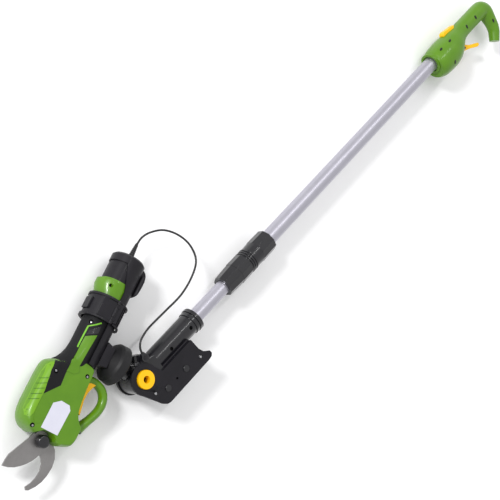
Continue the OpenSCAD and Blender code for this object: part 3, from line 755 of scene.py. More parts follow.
@dataclass
class Studio:
    """Floor, lights and camera."""

    eye: Point3 = (-0.72621, 0.72719, 1.62861)
    right: Point3 = (0.59207, -0.52551, 0.61098)
    up: Point3 = (0.63204, 0.77315, 0.05253)
    back: Point3 = (-0.49999, 0.35506, 0.7899)
    focal: float = 93.6
    paper: Colour = (0.93, 0.93, 0.935)
    surround: float = 0.8
    key_place: Point3 = (-1.55, 3.7, 2.7)
    key_aim: Point3 = (0.4, 0.0, 0.0)
    key_size: Point2 = (0.8, 0.8)
    key_power: float = 170
    strip_place: Point3 = (1.2, 0.78, 1.74)
    strip_away: Point3 = (1.1, 0.78, 1.74)
    strip_size: Point2 = (2.0, 0.06)
    strip_power: float = 8

    def camera(self) -> None:
        """Stands the camera where the whole object fits its frame."""
        data = bpy.data.cameras.new("camera")
        data.sensor_fit = "HORIZONTAL"
        data.sensor_width = 36.0
        data.lens = self.focal
        data.clip_start = 0.05
        data.clip_end = 60
        camera = bpy.data.objects.new("camera", data)
        turn = Matrix((self.right, self.up, self.back)).transposed().to_4x4()
        camera.matrix_world = Matrix.Translation(self.eye) @ turn
        bpy.context.scene.collection.objects.link(camera)
        bpy.context.scene.camera = camera

    def floor(self) -> None:
        """Lays the plain pale floor."""
        bm = bmesh.new()
        bmesh.ops.create_grid(bm, x_segments=8, y_segments=8, size=12)
        bmesh.ops.translate(bm, vec=(0.5, 0, -0.0006), verts=bm.verts[:])
        mesh = bpy.data.meshes.new("floor")
        bm.to_mesh(mesh)
        bm.free()
        floor = bpy.data.objects.new("floor", mesh)
        bpy.context.scene.collection.objects.link(floor)
        graph = Graph("floor_paper")
        clouds = graph.noise(graph.place(), 260.0, 3.0)
        tint = tuple(c * 0.99 for c in self.paper)
        graph.feed(graph.shader.inputs["Base Color"], graph.blend(clouds, self.paper, tint))
        graph.feed(graph.shader.inputs["Roughness"], 0.7 + clouds * 0.2)
        graph.shader.inputs["Specular IOR Level"].default_value = 0.15
        mesh.materials.append(graph.material)

    def lamp(self, name: str, place: Point3, turn: Matrix, size: Point2, power: float) -> None:
        """Hangs one soft area lamp.

        Args:
            name: the lamp's name.
            place: where it hangs, in metres.
            turn: which way it faces.
            size: its width and height in metres.
            power: its power in watts.
        """
        data = bpy.data.lights.new(name, "AREA")
        data.shape = "RECTANGLE"
        data.size, data.size_y = size
        data.energy = power
        lamp = bpy.data.objects.new(name, data)
        lamp.matrix_world = Matrix.Translation(place) @ turn
        bpy.context.scene.collection.objects.link(lamp)

    def light(self) -> None:
        """Sets the soft surround, the key lamp and a long strip lamp that runs along the pole."""
        world = bpy.data.worlds.new("surround")
        world.use_nodes = True
        ground = world.node_tree.nodes["Background"]
        ground.inputs["Color"].default_value = (1.0, 1.0, 1.0, 1.0)
        ground.inputs["Strength"].default_value = self.surround
        bpy.context.scene.world = world
        track = (Vector(self.key_place) - Vector(self.key_aim)).to_track_quat("Z", "Y")
        self.lamp("key", self.key_place, track.to_matrix().to_4x4(), self.key_size, self.key_power)
        away = Vector(self.strip_away).normalized()
        along = (Vector((1, 0, 0)) - away * away.x).normalized()
        turn = Matrix((along, away.cross(along), away)).transposed().to_4x4()
        self.lamp("strip", self.strip_place, turn, self.strip_size, self.strip_power)
        bpy.context.scene.view_settings.view_transform = "Standard"
        bpy.context.scene.view_settings.look = "None"

    def build(self) -> None:
        """Makes the studio."""
        self.camera()
        self.floor()
        self.light()


# ------------------------------------------------------------------ the cord
@dataclass
class LinkCord:
    """The thin cord from the cradle's end cup to the clip on the bracket."""

    route: Sequence[Point2] = (
        (129.6, 147.2), (143, 149.4), (159, 145.8), (177, 135), (190, 115), (194, 92), (186, 70),
        (163, 58), (129, 51), (92, 52), (66, 53.4), (50, 53.6), (37.6, 51.6), (28.6, 48.4),
        (22.4, 42.4), (19.8, 35.6), (19.6, 29.5),
    )
    lift: Sequence[float] = (
        31, 31.3, 32.4, 36, 40, 44, 47.5, 51, 53.5, 55.5, 57, 57.6, 57.6, 57.4, 57, 56.5, 56.2,
    )
    diameter: float = 3.2
    sides: int = 14
    per: int = 5
    length: float = 0.309

    def line(self) -> list[Vector]:
        """The centreline in metres."""
        flat = rounded([(*p, z) for p, z in zip(self.route, self.lift)], self.per, closed=False)
        return [Vector(p) * MM for p in flat]

    def build(self, paints: Paints) -> bpy.types.Object:
        """Makes the cord as a tube about its centreline.

        Args:
            paints: the materials.

        Returns:
            The cord.
        """
        line = self.line()
        bm = bmesh.new()
        rings: list[list[bmesh.types.BMEdge]] = []
        for i, spot in enumerate(line):
            way = (line[min(i + 1, len(line) - 1)] - line[max(i - 1, 0)]).normalized()
            side = way.cross(Vector((0, 0, 1))).normalized()
            turn = Matrix((side, side.cross(way).normalized() * -1, way)).transposed().to_4x4()
            made = bmesh.ops.create_circle(
                bm, segments=self.sides, radius=self.diameter / 2 * MM,
                matrix=Matrix.Translation(spot) @ turn,
            )["verts"]
            rings.append(list({e for v in made for e in v.link_edges}))
        for one, two in zip(rings, rings[1:]):
            bmesh.ops.bridge_loops(bm, edges=one + two)
        bmesh.ops.holes_fill(bm, edges=[e for e in bm.edges if e.is_boundary], sides=0)
        bmesh.ops.recalc_face_normals(bm, faces=bm.faces[:])
        mesh = bpy.data.meshes.new("link_cord_jacket")
        bm.to_mesh(mesh)
        bm.free()
        mesh.shade_smooth()
        mesh.set_sharp_from_angle(angle=math.radians(50))
        cord = bpy.data.objects.new("link_cord_jacket", mesh)
        bpy.context.scene.collection.objects.link(cord)
        mesh.materials.append(paints.get(JACKET))
        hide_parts("link_cord")
        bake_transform(cord)
        log.info("link_cord_jacket: %d faces, between head and lower_pole", len(mesh.polygons))
        return cord

    def declare(self) -> None:
        line = self.line()


# ------------------------------------------------------------------ the pole
@dataclass
class Pole:
    """Tubes and twist clamp."""

    paints: Paints

    def build(self) -> None:
        """Makes the tubes and the clamp."""
        for name, body in (("outer_tube", "pole"), ("inner_tube", "lower_pole")):
            shape = Shape(POLE_FRAME)
            shape.node(name, 0.25, 2)
            shape.done(name + "_drawn", self.paints, TUBE_ALLOY, body, [name])
        nut = Shape(POLE_FRAME)
        nut.node("clamp_nut", 0.6, 3, 20)
        nut.done("clamp_nut_grip", self.paints, GLOSS_BLACK, "twist_nut", ["clamp_nut"])
        sleeve = Shape(POLE_FRAME)
        sleeve.node("clamp_sleeve", 0.5, 3, 20)
        sleeve.done("clamp_sleeve_grip", self.paints, GLOSS_BLACK, "pole", ["clamp_sleeve"])


# ------------------------------------------------------------------ the shear
@dataclass
class ShearBody:
    """The two green mouldings of the shear with their grip and inlays.

    Attributes:
        paints: the materials.
        half: height of the body above its seam.
        pivot: middle of the round front end.
        hub: radius of the front end.
        ridge: plan points of the back, from the front end to the grip.
        rear: plan points of the trigger side, from the grip to the front end.
        ring: centreline of the finger ring.
        stations: place, half width, half height and centre of each section of the grip.
        levels: heights of the rows of the skin; the first is half the seam.
    """

    paints: Paints
    half: float = 21.0
    pivot: Point2 = (-4.0, 2.5)
    hub: float = 16.2
    ridge: Sequence[Point2] = (
        (1.5, 21), (3, 31), (6, 38.5), (11, 45.5), (19, 50), (32, 52.2), (45, 52.6), (62, 52.6), (80, 52.4),
        (93, 51.4), (100, 48.2), (105, 41.5), (107.5, 35), (111, 28), (116, 24), (121, 21),
    )
    rear: Sequence[Point2] = (
        (121, 10), (121, -8), (118, -18), (108, -20.5), (96, -20.8), (80, -22.2), (66, -24), (54, -27),
        (46, -33), (40, -40), (30, -41.5), (20, -42), (10, -38.5), (5, -30), (1.5, -20),
    )
    ring: Sequence[Point2] = (
        (38, -44), (50, -49.5), (62, -55.6), (74, -60.2), (86, -61.9), (97, -58.6), (104.8, -51),
        (108.2, -41), (108.4, -31.5), (106, -23), (100, -15),
    )
    stations: Sequence[tuple[float, float, float, float]] = (
        (102, 29.4, 17.0, 10.2), (105, 29.3, 19.6, 9.8), (110, 28.0, 20.9, 8.5), (115, 26.4, 21.3, 7.0),
        (121, 24.8, 21.5, 5.3), (130, 23.3, 21.5, 3.8), (140, 22.6, 21.5, 3.1), (150, 22.5, 21.5, 3.0),
        (170, 22.5, 21.5, 3.0), (190, 22.5, 21.5, 3.0), (206, 22.6, 21.6, 3.0), (217, 22.6, 21.6, 3.0),
        (218, 22.0, 21.0, 3.0),
    )
    levels: Sequence[float] = (0.12, 3.5, 7, 10, 12.8, 15.2, 17.3, 19, 20.2, 20.8, 21.0)

    def _outline(self) -> list[Point3]:
        """Works out the plan of the body.

        Returns:
            Plan points, each with how far it moves in by the top.
        """
        arc: list[Point3] = []
        for k in range(9):
            a = math.radians(-62 + 14.6 * k)
            arc.append((
                self.pivot[0] + self.hub * math.cos(a), self.pivot[1] + self.hub * math.sin(a), 2.0,
            ))
        front = [(*p, 0.0) for p in rounded(self.ridge, 3, closed=False)]
        back = [(*p, 0.0) for p in rounded(self.rear, 3, closed=False)]
        points = (
            arc
            + [(u, v, 3.5 if u < 6 else (7.5 if u < 11 else (12.5 if u < 103 else 6.0))) for u, v, _ in front]
            + [(u, v, 1.0 if u > 119 else (5.5 if u < 30 else 3.2)) for u, v, _ in back]
        )
        soft = points
        for _ in range(3):
            n = len(soft)
            soft = [
                (p[0], p[1], (soft[i - 1][2] + 2 * p[2] + soft[(i + 1) % n][2]) / 4)
                for i, p in enumerate(soft)
            ]
        return soft

    def _skin(self, shape: Shape, upper: bool) -> None:
        """Builds the tall moulding as one closed skin.

        Args:
            shape: the mesh it goes into.
            upper: the half above the seam, else the one below.
        """
        outline = self._outline()
        n = len(outline)
        normals: list[Point2] = []
        for i in range(n):
            a, b = outline[i - 1], outline[(i + 1) % n]
            du, dv = b[0] - a[0], b[1] - a[1]
            size = math.hypot(du, dv)
            normals.append((dv / size, -du / size))
        turns = sum(a[0] * b[1] - b[0] * a[1] for a, b in zip(outline, outline[1:] + outline[:1]))
        sign = 1.0 if turns > 0 else -1.0
        sense = 1.0 if upper else -1.0
        rows: list[list[Point3]] = []
        for level in self.levels:
            share = 1 - math.sqrt(max(0.0, 1 - (level / self.half) ** 2.3))
            rows.append([
                (u - sign * nu * (inset * share), v - sign * nv * (inset * share), sense * level)
                for (u, v, inset), (nu, nv) in zip(outline, normals)
            ])
        bm = shape.bm
        ring = [bm.verts.new(p) for p in rows[0]]
        edges = [bm.edges.new((ring[i], ring[(i + 1) % n])) for i in range(n)]
        foot = list(edges)
        for row in rows[1:]:
            made = bmesh.ops.extrude_edge_only(bm, edges=edges)["geom"]
            verts = [g for g in made if isinstance(g, bmesh.types.BMVert)]
            edges = [
                g for g in made if isinstance(g, bmesh.types.BMEdge) and all(v in verts for v in g.verts)
            ]
            walk = {v: None for v in verts}
            order: list[bmesh.types.BMVert] = []
            for old in ring:
                new = next(e.other_vert(old) for e in old.link_edges if e.other_vert(old) in walk)
                order.append(new)
            for vert, spot in zip(order, row):
                vert.co = spot
            ring = order
        lid = bm.faces.new(ring)
        base = bmesh.ops.contextual_create(bm, geom=foot)["faces"]
        faces = {f for v in bm.verts for f in v.link_faces}
        bmesh.ops.recalc_face_normals(bm, faces=list(faces))
        bmesh.ops.triangulate(bm, faces=[lid, *base], quad_method="BEAUTY", ngon_method="BEAUTY")

    def _finger_ring(self, shape: Shape, upper: bool) -> None:
        """Sweeps the rounded finger ring, cut at the seam.

        Args:
            shape: the mesh it goes into.
            upper: the half above the seam, else the one below.
        """
        line = [Vector((u, v, 0)) for u, v in rounded(self.ring, 5, closed=False)]
        before = set(shape.bm.verts)
        loops: list[list[bmesh.types.BMEdge]] = []
        for i, spot in enumerate(line):
            way = (line[min(i + 1, len(line) - 1)] - line[max(i - 1, 0)]).normalized()
            side = way.cross(Vector((0, 0, 1)))
            turn = Matrix((side, Vector((0, 0, 1)), way)).transposed().to_4x4()
            end = min(i, len(line) - 1 - i) / 8
            swell = 1 + 0.22 * max(0.0, 1 - end)
            made = bmesh.ops.create_circle(
                shape.bm, segments=20, radius=1.0,
                matrix=Matrix.Translation(spot) @ turn @ Matrix.Diagonal((6.3 * swell, 8.2 * swell, 1, 1)),
            )["verts"]
            loops.append(list({e for v in made for e in v.link_edges}))
        for one, two in zip(loops, loops[1:]):
            bmesh.ops.bridge_loops(shape.bm, edges=one + two)
        new = [v for v in shape.bm.verts if v not in before]
        geom = new + list({e for v in new for e in v.link_edges})
        geom += list({f for v in new for f in v.link_faces})
        sense = 1 if upper else -1
        bmesh.ops.bisect_plane(
            shape.bm, geom=geom, dist=1e-4, plane_co=(0, 0, sense * self.levels[0]),
            plane_no=(0, 0, -sense), clear_outer=True,
        )
        open_edges = [
            e for v in shape.bm.verts if v not in before for e in v.link_edges if e.is_boundary
        ]
        bmesh.ops.holes_fill(shape.bm, edges=list(set(open_edges)), sides=0)
        new = [v for v in shape.bm.verts if v not in before]
        bmesh.ops.recalc_face_normals(shape.bm, faces=list({f for v in new for f in v.link_faces}))

    def _grip_skin(self, shape: Shape, upper: bool) -> None:
        """Builds one rubber half of the grip, flaring into the body.

        Args:
            shape: the mesh it goes into.
            upper: the half above the seam, else the one below.
        """
        bm = shape.bm
        loops: list[list[bmesh.types.BMEdge]] = []
        lay = Matrix(((0, 0, 1, 0), (1, 0, 0, 0), (0, 1, 0, 0), (0, 0, 0, 1)))
        for u, a, b, c in self.stations:
            made = bmesh.ops.create_circle(
                bm, segments=64, radius=1.0,
                matrix=Matrix.Translation((u, c, 0)) @ lay @ Matrix.Diagonal((a, b, 1, 1)),
            )["verts"]
            loops.append(list({e for v in made for e in v.link_edges}))
        for one, two in zip(loops, loops[1:]):
            bmesh.ops.bridge_loops(bm, edges=one + two)
        sense = 1 if upper else -1
        bmesh.ops.bisect_plane(
            bm, geom=bm.verts[:] + bm.edges[:] + bm.faces[:], dist=1e-4,
            plane_co=(0, 0, sense * self.levels[0]), plane_no=(0, 0, -sense), clear_outer=True,
        )
        bmesh.ops.holes_fill(bm, edges=[e for e in bm.edges if e.is_boundary], sides=0)
        bmesh.ops.recalc_face_normals(bm, faces=bm.faces[:])

    def _surface(self, kinds: Sequence[str]) -> BVHTree:
        """Makes a search tree of the upper surfaces that inlays lie on.

        Args:
            kinds: "body" for the green moulding, "grip" for the rubber.

        Returns:
            The tree, in the shear's frame.
        """
        bm = bmesh.new()
        for kind in kinds:
            shape = Shape(SHEAR_FRAME)
            if kind == "body":
                self._skin(shape, True)
                self._finger_ring(shape, True)
            else:
                self._grip_skin(shape, True)
            mesh = bpy.data.meshes.new("probe")
            shape.bm.to_mesh(mesh)
            shape.bm.free()
            bm.from_mesh(mesh)
            bpy.data.meshes.remove(mesh)
        tree = BVHTree.FromBMesh(bm)
        bm.free()
        return tree

    def _inlay(
        self, shape: Shape, tree: BVHTree, outline: Sequence[Point2], rise: float, deep: float = 1.2,
        pitch: float = 2.6, edge: float = 0.3,
    ) -> None:
        """Lays a thin plate of a plan outline on the surface and gives it a rounded rim.

        Args:
            shape: the mesh it goes into.
            tree: the surface.
            outline: plan points in order.
            rise: how far the plate stands above the surface.
            deep: how far it reaches below.
            pitch: distance between its cross lines.
            edge: radius of its rim.
        """
        bm = shape.bm
        before = set(bm.verts)
        face = bm.faces.new([bm.verts.new((u, v, 60.0)) for u, v in outline])
        us = [p[0] for p in outline]
        vs = [p[1] for p in outline]
        for low, high, axis in ((min(us), max(us), 0), (min(vs), max(vs), 1)):
            count = max(1, int((high - low) / pitch))
            for k in range(1, count):
                spot = low + (high - low) * k / count
                geom = [v for v in bm.verts if v not in before]
                geom += list({e for v in geom for e in v.link_edges})
                geom += list({f for v in bm.verts if v not in before for f in v.link_faces})
                where = (spot, 0, 0) if axis == 0 else (0, spot, 0)
                way = (1, 0, 0) if axis == 0 else (0, 1, 0)
                bmesh.ops.bisect_plane(bm, geom=geom, dist=1e-3, plane_co=where, plane_no=way)
        new = [v for v in bm.verts if v not in before]
        faces = list({f for v in new for f in v.link_faces})
        made = bmesh.ops.extrude_face_region(bm, geom=faces)["geom"]
        top = {g for g in made if isinstance(g, bmesh.types.BMVert)}
        new = [v for v in bm.verts if v not in before]
        for vert in new:
            hit = tree.ray_cast(Vector((vert.co.x, vert.co.y, 90.0)), Vector((0, 0, -1)))[0]
            level = hit.z if hit is not None else 0.0
            vert.co.z = level + (rise if vert in top else -deep)
        bmesh.ops.recalc_face_normals(bm, faces=list({f for v in new for f in v.link_faces}))
        if edge > 0:
            rim = [
                e for v in top for e in v.link_edges
                if len(e.link_faces) == 2 and e.other_vert(v) in top
                and any(not all(w in top for w in f.verts) for f in e.link_faces)
            ]
            shape.soften(set(rim), edge, 2)

    def build(self) -> None:
        """Makes every piece of the body."""
        paints = self.paints
        for upper, name in ((True, "shell_upper"), (False, "shell_lower")):
            shape = Shape(SHEAR_FRAME)
            self._skin(shape, upper)
            self._finger_ring(shape, upper)
            if upper:
                tree = self._surface(("body",))
                cheek = rounded(
                    ((47, 36), (44, 22), (30, 19.5), (17, 22), (13, 30), (20, 36), (33, 38)), 3,
                )
                self._inlay(shape, tree, cheek, 0.45, edge=0.35)
            shape.done(name + "_skin", paints, GREEN, "head", [name], sharp=38)
        for upper, name in ((True, "grip_upper"), (False, "grip_lower")):
            shape = Shape(SHEAR_FRAME)
            self._grip_skin(shape, upper)
            shape.done(name + "_rubber", paints, RUBBER, "head", [name], sharp=40)
        both = self._surface(("body", "grip"))
        self._plates(both)
        self._label()
        self._ridge_cover(both)
        self._dome()
        self._screws(both)

    def _plate(
        self, name: str, finish: Finish, tree: BVHTree, outline: Sequence[Point2], rise: float, deep: float,
        pitch: float = 2.6, edge: float = 0.3, replaces: Sequence[str] = (),
    ) -> None:
        """Makes one inlay as a piece of its own.

        Args:
            name: the piece's name.
            finish: its finish.
            tree: the surface it lies on.
            outline: plan points in order.
            rise: how far it stands above the surface.
            deep: how far it reaches below.
            pitch: distance between its cross lines.
            edge: radius of its rim.
            replaces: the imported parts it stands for.
        """
        shape = Shape(SHEAR_FRAME)
        self._inlay(shape, tree, outline, rise, deep, pitch, edge)
        shape.done(name, self.paints, finish, "head", replaces)

    def _plates(self, both: BVHTree) -> None:
        """Makes the inlays where the body meets the grip.

        Args:
            both: the surface of the body and the grip.
        """
        self._plate("grip_wing", RUBBER, both, (
            (53, 38), (74.6, 20.6), (93, 22.2), (111, 22.4), (124, 20.4), (131, 19.6), (134, 25.4),
            (126, 27.6), (119, 30), (113, 34), (108, 39), (104.5, 41.6), (98, 43.4), (86, 43.1), (70, 41),
        ), 0.5, 2.0)
        self._plate("green_tongue", GREEN, both, (
            (96, 22.6), (113, 20.6), (129.6, 18.9), (142, 18.7), (153.5, 18.2), (158, 12), (162.4, 4.8),
            (150, 5.6), (138, 6.6), (120, 7.6), (111, 8), (104, 4), (98, 10),
        ), 0.75, 2.0)
        path = ((134.7, 20.6), (152, 20.4), (169, 20.2), (175.4, 12.6), (181, 7.0))
        width = 0.75
        left = [(u + width * 0.9 * (1 if i > 2 else 0.2), v + width) for i, (u, v) in enumerate(path)]
        right = [(u - width * (1 if i > 1 else 0.0), v - width) for i, (u, v) in enumerate(path)]
        self._plate("lime_pinstripe", LIME, both, left + right[::-1], 0.55, 1.0, 2.5, 0.15)
        self._plate("grip_panel", GLOSS_BLACK, both, (
            (156.5, 17.8), (164, 17), (170, 12.4), (175.6, 5.4), (165.5, 4.4), (160.5, 11),
        ), 0.4, 1.0, 2.5, 0.2)

    def _label(self) -> None:
        """Makes the blank label."""
        label = Shape(SHEAR_FRAME)
        label.slab(
            ((11.4, 18.8), (49, 18.6), (57.2, 8.7), (57.4, -5.8), (51.5, -10.6), (13.2, -9.4)),
            19.6, 21.3, 0.15, 2,
        )
        label.done("blank_label_film", self.paints, FILM, "head", ["blank_label"])

    def _ridge_cover(self, both: BVHTree) -> None:
        """Makes the cover along the back of the body in a lighter green, a painted highlight where the ridge
        is lit, with its grooves as dark strips of painted shade.

        Args:
            both: the surface of the body and the grip.
        """
        self._plate("ridge_cover", RIDGE_HIGHLIGHT_GREEN, both, (
            (16, 46.2), (24, 50.4), (34, 51.4), (55, 51.7), (80, 51.4), (91, 50.2), (97, 46.8), (99.4, 43.6),
            (94, 43.0), (86, 43.6), (72, 40.4), (60, 38.9), (40, 38.6), (24, 38.4), (16, 40.4),
        ), 0.45, 1.4, 3.0, 0.35, ["front_cover"])
        # painted shade: the grooves are dark strips laid on the cover, not cut into it
        grooves = Shape(SHEAR_FRAME)
        for k in range(5):
            u = 37 + 8 * k
            groove = ((u, 50.8), (u + 0.9, 50.8), (u + 7.2, 40.6), (u + 6.3, 40.6))
            self._inlay(grooves, both, groove, 0.62, 1.0, 2.2, 0.1)
        grooves.done("ridge_groove_shade", self.paints, GROOVE_SHADE_GREEN, "head")

    def _dome(self) -> None:
        """Makes the domed cap over the pivot."""
        dome = Shape(SHEAR_FRAME)
        dome.turn(
            [(6, 0), (6, 9.2), (13.6, 9.2), (14.5, 8.9), (15.4, 8.0), (16.1, 6.4), (16.6, 3.6), (16.7, 0)],
            64, standing(-1.6, 0.5, 0),
        )
        dome.done("pivot_dome", self.paints, GLOSS_BLACK, "head", ["pivot_cap"], sharp=50)

    def _screws(self, both: BVHTree) -> None:
        """Sets near-black discs in the screw wells of the upper moulding, painted shade for their recesses,
        with their screws.

        Args:
            both: the surface of the body and the grip.
        """
        wells = Shape(SHEAR_FRAME)
        heads = Shape(SHEAR_FRAME)
        for u, v, rise in ((88.1, 36.6, 0.5), (105.3, -10.4, 0.0), (8.4, 31.8, 0.0), (41.5, -39.5, 0.0),
                           (176.2, 19.5, 0.0)):
            hit, normal = both.ray_cast(Vector((u, v, 90.0)), Vector((0, 0, -1)))[:2]
            if hit is None or normal.z < 0.2:
                hit, normal = Vector((u, v, 20.0)), Vector((0, 0, 1))
            at = Matrix.Translation(hit) @ normal.to_track_quat("Z", "Y").to_matrix().to_4x4()
            # painted shade: a near-black disc stands for the shade inside each screw well
            wells.turn([(-2, 0), (-2, 3.1), (rise + 0.3, 3.1), (rise + 0.5, 2.85), (rise + 0.3, 2.6),
                        (rise + 0.1, 2.5), (rise + 0.1, 0)], 36, at)
            heads.turn([(rise, 0), (rise, 1.5), (rise + 0.3, 1.5), (rise + 0.4, 1.3), (rise + 0.4, 0.7),
                        (rise + 0.2, 0.6), (rise + 0.2, 0)], 30, at @ Matrix.Translation((0.6, 0.5, 0)))
        wells.done("shell_screw_well_shade", self.paints, PIT_SHADE, "head")
        heads.done("shell_screw_heads", self.paints, ZINC, "head", ["shell_screws"])


# ------------------------------------------------------------------ the pole handle
@dataclass
class Handle:
    """The two green mouldings at the pole's end with their lock, trigger, and screw wells painted as dark
    shade.

    Attributes:
        paints: the materials.
        start: where the moulding starts along the pole.
        bulb_y: middle of its thick front part.
        grip_y: middle of its grip.
        split: half the seam between the halves.
        wells: place, turn and surface radius of each screw well.
    """

    paints: Paints
    start: float = HANDLE_START
    bulb_y: float = -8.0
    grip_y: float = 2.5
    split: float = 0.12
    wells: Sequence[tuple[float, float, float, float]] = (
        (33, 13, 10, 28.3), (60, 12.5, 10, 28.9), (40, -20, 75, 28.8), (119, 5, 70, 15.8),
        (150, 5, 75, 15.7), (190, -27, 80, 12.2),
    )

    def _ribs(self) -> list[tuple[Point2, Point2, float]]:
        """Works out the rings along the moulding.

        Returns:
            The centre, direction and radius of each ring.
        """
        rings: list[tuple[Point2, Point2, float]] = []
        for x, r in ((13.2, 20.6), (13.6, 21.6), (15, 22.8), (18, 24.6), (22, 26.3), (28, 27.6), (36, 28.6),
                     (46, 29), (58, 28.9), (70, 27.6), (80, 25.5), (88, 22.8), (95, 20.2), (102, 18),
                     (110, 16.5), (120, 15.7)):
            t = min(1.0, max(0.0, (x - 60) / 60))
            y = self.bulb_y + (self.grip_y - self.bulb_y) * t * t * (3 - 2 * t)
            rings.append(((self.start + x, y), (1.0, 0.0), r))
        for x in (132, 144, 156, 168, 176):
            rings.append(((self.start + x, self.grip_y), (1.0, 0.0), 15.6))
        corner = (self.start + 181, self.grip_y - 13)
        for k in range(1, 8):
            a = math.radians(90 - 90 * k / 8)
            rings.append((
                (corner[0] + 13 * math.cos(a), corner[1] + 13 * math.sin(a)), (math.sin(a), -math.cos(a)),
                15.6 - 0.16 * k,
            ))
        hook = (self.start + 195, -38.0)
        for k in range(4):
            rings.append(((hook[0] - 1 + k * 0.2, -12 - 6.4 * k), (0.0, -1.0), 14.2 - 0.75 * k))
        for k in range(1, 5):
            a = math.radians(38 * k / 4)
            centre = (hook[0] - 1.2 * k, hook[1] + 2 - 3.2 * k)
            rings.append((centre, (-math.sin(a), -math.cos(a)), 11.8 - 0.3 * k))
        end = rings[-1][0]
        for k in range(1, 4):
            rings.append(((end[0] - 3.7 * k, end[1] - 4.7 * k), (-0.616, -0.788), 10.6 - 0.42 * k))
        return rings

    def _loft(self, shape: Shape, upper: bool) -> None:
        """Makes one half of the moulding.

        Args:
            shape: the mesh it goes into.
            upper: the half above the seam, else the one below.
        """
        bm = shape.bm
        loops: list[list[bmesh.types.BMEdge]] = []
        for (x, y), (dx, dy), r in self._ribs():
            way = Vector((dx, dy, 0)).normalized()
            side = way.cross(Vector((0, 0, 1)))
            turn = Matrix((side, Vector((0, 0, 1)), way)).transposed().to_4x4()
            made = bmesh.ops.create_circle(
                bm, segments=48, radius=r, matrix=Matrix.Translation((x, y, 0)) @ turn,
            )["verts"]
            loops.append(list({e for v in made for e in v.link_edges}))
        for one, two in zip(loops, loops[1:]):
            bmesh.ops.bridge_loops(bm, edges=one + two)
        bmesh.ops.holes_fill(bm, edges=[e for e in bm.edges if e.is_boundary], sides=0)
        sense = 1 if upper else -1
        bmesh.ops.bisect_plane(
            bm, geom=bm.verts[:] + bm.edges[:] + bm.faces[:], dist=1e-4,
            plane_co=(0, 0, sense * self.split), plane_no=(0, 0, -sense), clear_outer=True,
        )
        bmesh.ops.holes_fill(bm, edges=[e for e in bm.edges if e.is_boundary], sides=0)
        bmesh.ops.recalc_face_normals(bm, faces=bm.faces[:])

    def build(self) -> None:
        """Makes the pieces of the handle."""
        for upper, name in ((True, "handle_upper"), (False, "handle_lower")):
            shape = Shape(POLE_FRAME)
            self._loft(shape, upper)
            shape.done(name + "_moulding", self.paints, GREEN, "pole", [name], sharp=40)
        lip = Shape(POLE_FRAME)
        lip.turn([(15, 19), (11.4, 19), (11, 18.6), (11, 15.6), (11.4, 15.1), (15, 15.1)], 64,
                 lying(self.start, 0, 0), closed=True)
        lip.turn([(17.5, 22.3), (13.2, 22.3), (12.6, 21.7), (12.6, 18.9), (17.5, 18.9)], 64,
                 lying(self.start, self.bulb_y * 0.6, 0), closed=True)
        lip.done("handle_mouth_rings", self.paints, GREEN, "pole", sharp=50)
        slots = Shape(POLE_FRAME)
        for x, y, turn, r in self.wells:
            centre = self.bulb_y if x < 100 else (self.grip_y if x < 170 else y + 3)
            rise = math.sqrt(max(4.0, r * r - (y - centre) ** 2)) if x < 170 else 11.9
            lean = math.degrees(math.asin(max(-0.95, min(0.95, (y - centre) / r)))) if x < 170 else 0.0
            at = (
                Matrix.Translation((self.start + x, y, rise - 0.55))
                @ Matrix.Rotation(math.radians(-lean), 4, "X")
                @ Matrix.Rotation(math.radians(turn), 4, "Z")
            )
            # painted shade: a dark oval stands for each shaded screw well and covers the screws it replaces
            slots.slab(oval(3.7, 1.9, 28), 0, 1.15, 0.25, 2, at)
        slots.done("handle_screw_well_shade", self.paints, BLACKED_STEEL_AND_WELL_SHADE, "pole", ["handle_screws"])
        lock = Shape(POLE_FRAME)
        lock.slab(
            [(self.start + x, y) for x, y in rounded(
                ((70, 13), (94, 13), (100, 17), (103, 21.4), (97, 22.8), (84, 24.4), (75, 25.6), (69, 24.6),
                 (67.5, 20)), 3)],
            -5.4, 5.4, 1.6, 4,
        )
        lock.done("handle_lock_slide", self.paints, AMBER, "lock_slider", ["handle_lock"])
        trigger = Shape(POLE_FRAME)
        trigger.slab(
            [(self.start + x, y) for x, y in rounded(
                ((92, -15), (99, -17.6), (113, -27.6), (125, -33.4), (134, -37), (136.6, -39.6), (134.6, -43),
                 (128, -42), (110, -34), (92, -27)), 3)],
            -4.8, 4.8, 1.4, 4,
        )
        trigger.done("handle_trigger_lever", self.paints, AMBER, "finger_lever", ["handle_trigger"])


